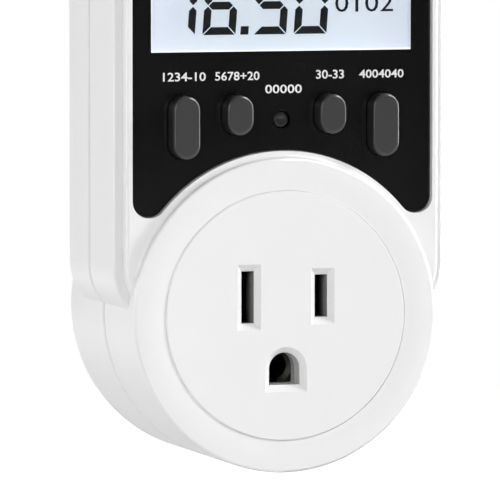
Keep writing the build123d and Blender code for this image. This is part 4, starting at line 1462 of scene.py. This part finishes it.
@dataclass
class Studio:
    """Camera, lights, pale floor and white surroundings."""

    camera_place: Place = (-0.3411, -1.0823, 0.0904)
    camera_way: Place = (0.3044, 0.9498, -0.0722)
    lens: float = 482.1
    sensor: float = 36.0
    clip: Span = (0.05, 50.0)
    floor_height: float = -0.085
    floor_reach: float = 0.75
    floor_fade: Span = (0.12, 0.5)
    floor_glow: Span = (0.25, 1.0)
    floor_mirrored: Span = (-0.1, 0.2)
    floor_colour: Colour = (0.8, 0.8, 0.8)
    lights: list[SoftLight] = field(
        default_factory=lambda: [
            SoftLight("key_light", (1.18, -0.4, 0.5), 0.18, 0.18, 13.5, Shine.MATT),
            SoftLight("front_right_light", (0.75, -1.05, 0.8), 0.5, 0.5, 6.0, Shine.MATT),
            SoftLight("front_left_light", (-0.3, -0.42, 0.12), 0.2, 0.2, 1.12),
            SoftLight("left_back_light", (-1.1, 0.45, 0.3), 0.8, 0.8, 5.9),
            SoftLight("right_rim_light", (0.95, 0.28, 0.25), 0.3, 1.0, 16.0, Shine.MIRRORED),
            SoftLight("right_strip_light", (0.95, -0.17, 0.4), 0.3, 1.4, 14.0, Shine.MIRRORED),
            SoftLight("upper_right_light", (0.7, -0.5, 0.8), 0.5, 0.5, 9.0, Shine.MIRRORED),
            SoftLight("left_rim_light", (-0.9, 0.5, 0.15), 0.15, 0.8, 4.0, Shine.MIRRORED),
        ]
    )
    surround: float = 0.06
    mirrored_surround: float = 0.02
    behind_mirrored: Span = (-0.1, 0.5)

    def build(self) -> None:
        """Set the whole studio."""
        self._camera()
        for light in self.lights:
            light.build()
        self._floor()
        self._world()
        bpy.context.scene.view_settings.view_transform = "Standard"

    def _camera(self) -> None:
        """Stand the camera where the photograph was taken from."""
        data = bpy.data.cameras.new("camera")
        data.lens = self.lens
        data.sensor_width = self.sensor
        data.clip_start, data.clip_end = self.clip
        camera = bpy.data.objects.new("camera", data)
        bpy.context.scene.collection.objects.link(camera)
        turn = Vector(self.camera_way).to_track_quat("-Z", "Y").to_matrix().to_4x4()
        camera.matrix_world = Matrix.Translation(self.camera_place) @ turn
        bpy.context.scene.camera = camera

    def _floor(self) -> None:
        """Lay a pale floor that turns pure white away from the object's shadow."""
        bm = bmesh.new()
        bmesh.ops.create_circle(bm, cap_ends=True, segments=96, radius=self.floor_reach)
        bmesh.ops.translate(bm, verts=bm.verts, vec=(0, 0, self.floor_height))
        floor = piece_of(bm, "floor")
        g = SurfaceGraph("floor")
        x, y, _ = g.axes()
        away = ((x * x + y * y) ** 0.5).ramp(*self.floor_fade, *self.floor_glow)
        rays = g.add("ShaderNodeLightPath", output="Is Camera Ray")
        mirrored = g.other(rays, "Is Glossy Ray") * y.ramp(*self.floor_mirrored)
        seen = rays.larger(g.other(rays, "Is Transmission Ray")).larger(mirrored)
        g.set(
            Base_Color=self.floor_colour,
            Roughness=0.9,
            Emission_Color=(1.0, 1.0, 1.0),
            Emission_Strength=seen * away,
        )
        floor.data.materials.append(g.material)

    def _world(self) -> None:
        """White for the camera and for what lies behind the object, dim in front of it."""
        world = bpy.data.worlds.new("world")
        bpy.context.scene.world = world
        world.use_nodes = True
        g = Graph(world.node_tree)
        rays = g.add("ShaderNodeLightPath", output="Is Camera Ray")
        seen = rays.larger(g.other(rays, "Is Transmission Ray"))
        glossy = g.other(rays, "Is Glossy Ray")
        way = g.add("ShaderNodeTexCoord", output="Generated")
        depth = g.other(g.add("ShaderNodeSeparateXYZ", None, {0: way}), 1)
        behind = glossy * depth.ramp(*self.behind_mirrored)
        dim = self.surround + (self.mirrored_surround - self.surround) * glossy
        strength = dim + (1.0 - dim) * seen.larger(behind)
        background = world.node_tree.nodes["Background"]
        background.inputs["Color"].default_value = (1.0, 1.0, 1.0, 1.0)
        g.tree.links.new(strength.socket, background.inputs["Strength"])


def main() -> None:
    """Build the scene in order."""
    logging.basicConfig(level=logging.INFO, format="%(message)s", stream=sys.stdout)
    Studio().build()
    dress_nodes()
    Display().build()
    PanelPrint().build()
    LabelPrint().build()
    InsertEdge().build()
    Screws(
        "casing_screws",
        head_radius=2.3 * MM,
        head_tall=2.0 * MM,
        shank_radius=1.4 * MM,
        pitch=1.1 * MM,
    ).build()
    Screws("inner_screws", head_radius=2.0 * MM, head_tall=1.4 * MM, shank_radius=1.1 * MM).build()
    Solder("meter_board", THROUGH_PARTS, Way.TO_WALL).build()
    Solder("display_board", ("link_header",), Way.TO_USER, near=1.0 * MM).build()
    BoardPrint("meter_board", METER_PARTS, Way.TO_USER).build()
    BoardPrint("display_board", ("mcu_chip", "crystal"), Way.TO_WALL).build()
    BoardPrint("display_board", ("switch_bodies",), Way.TO_USER).build()


if __name__ == "__main__":
    main()
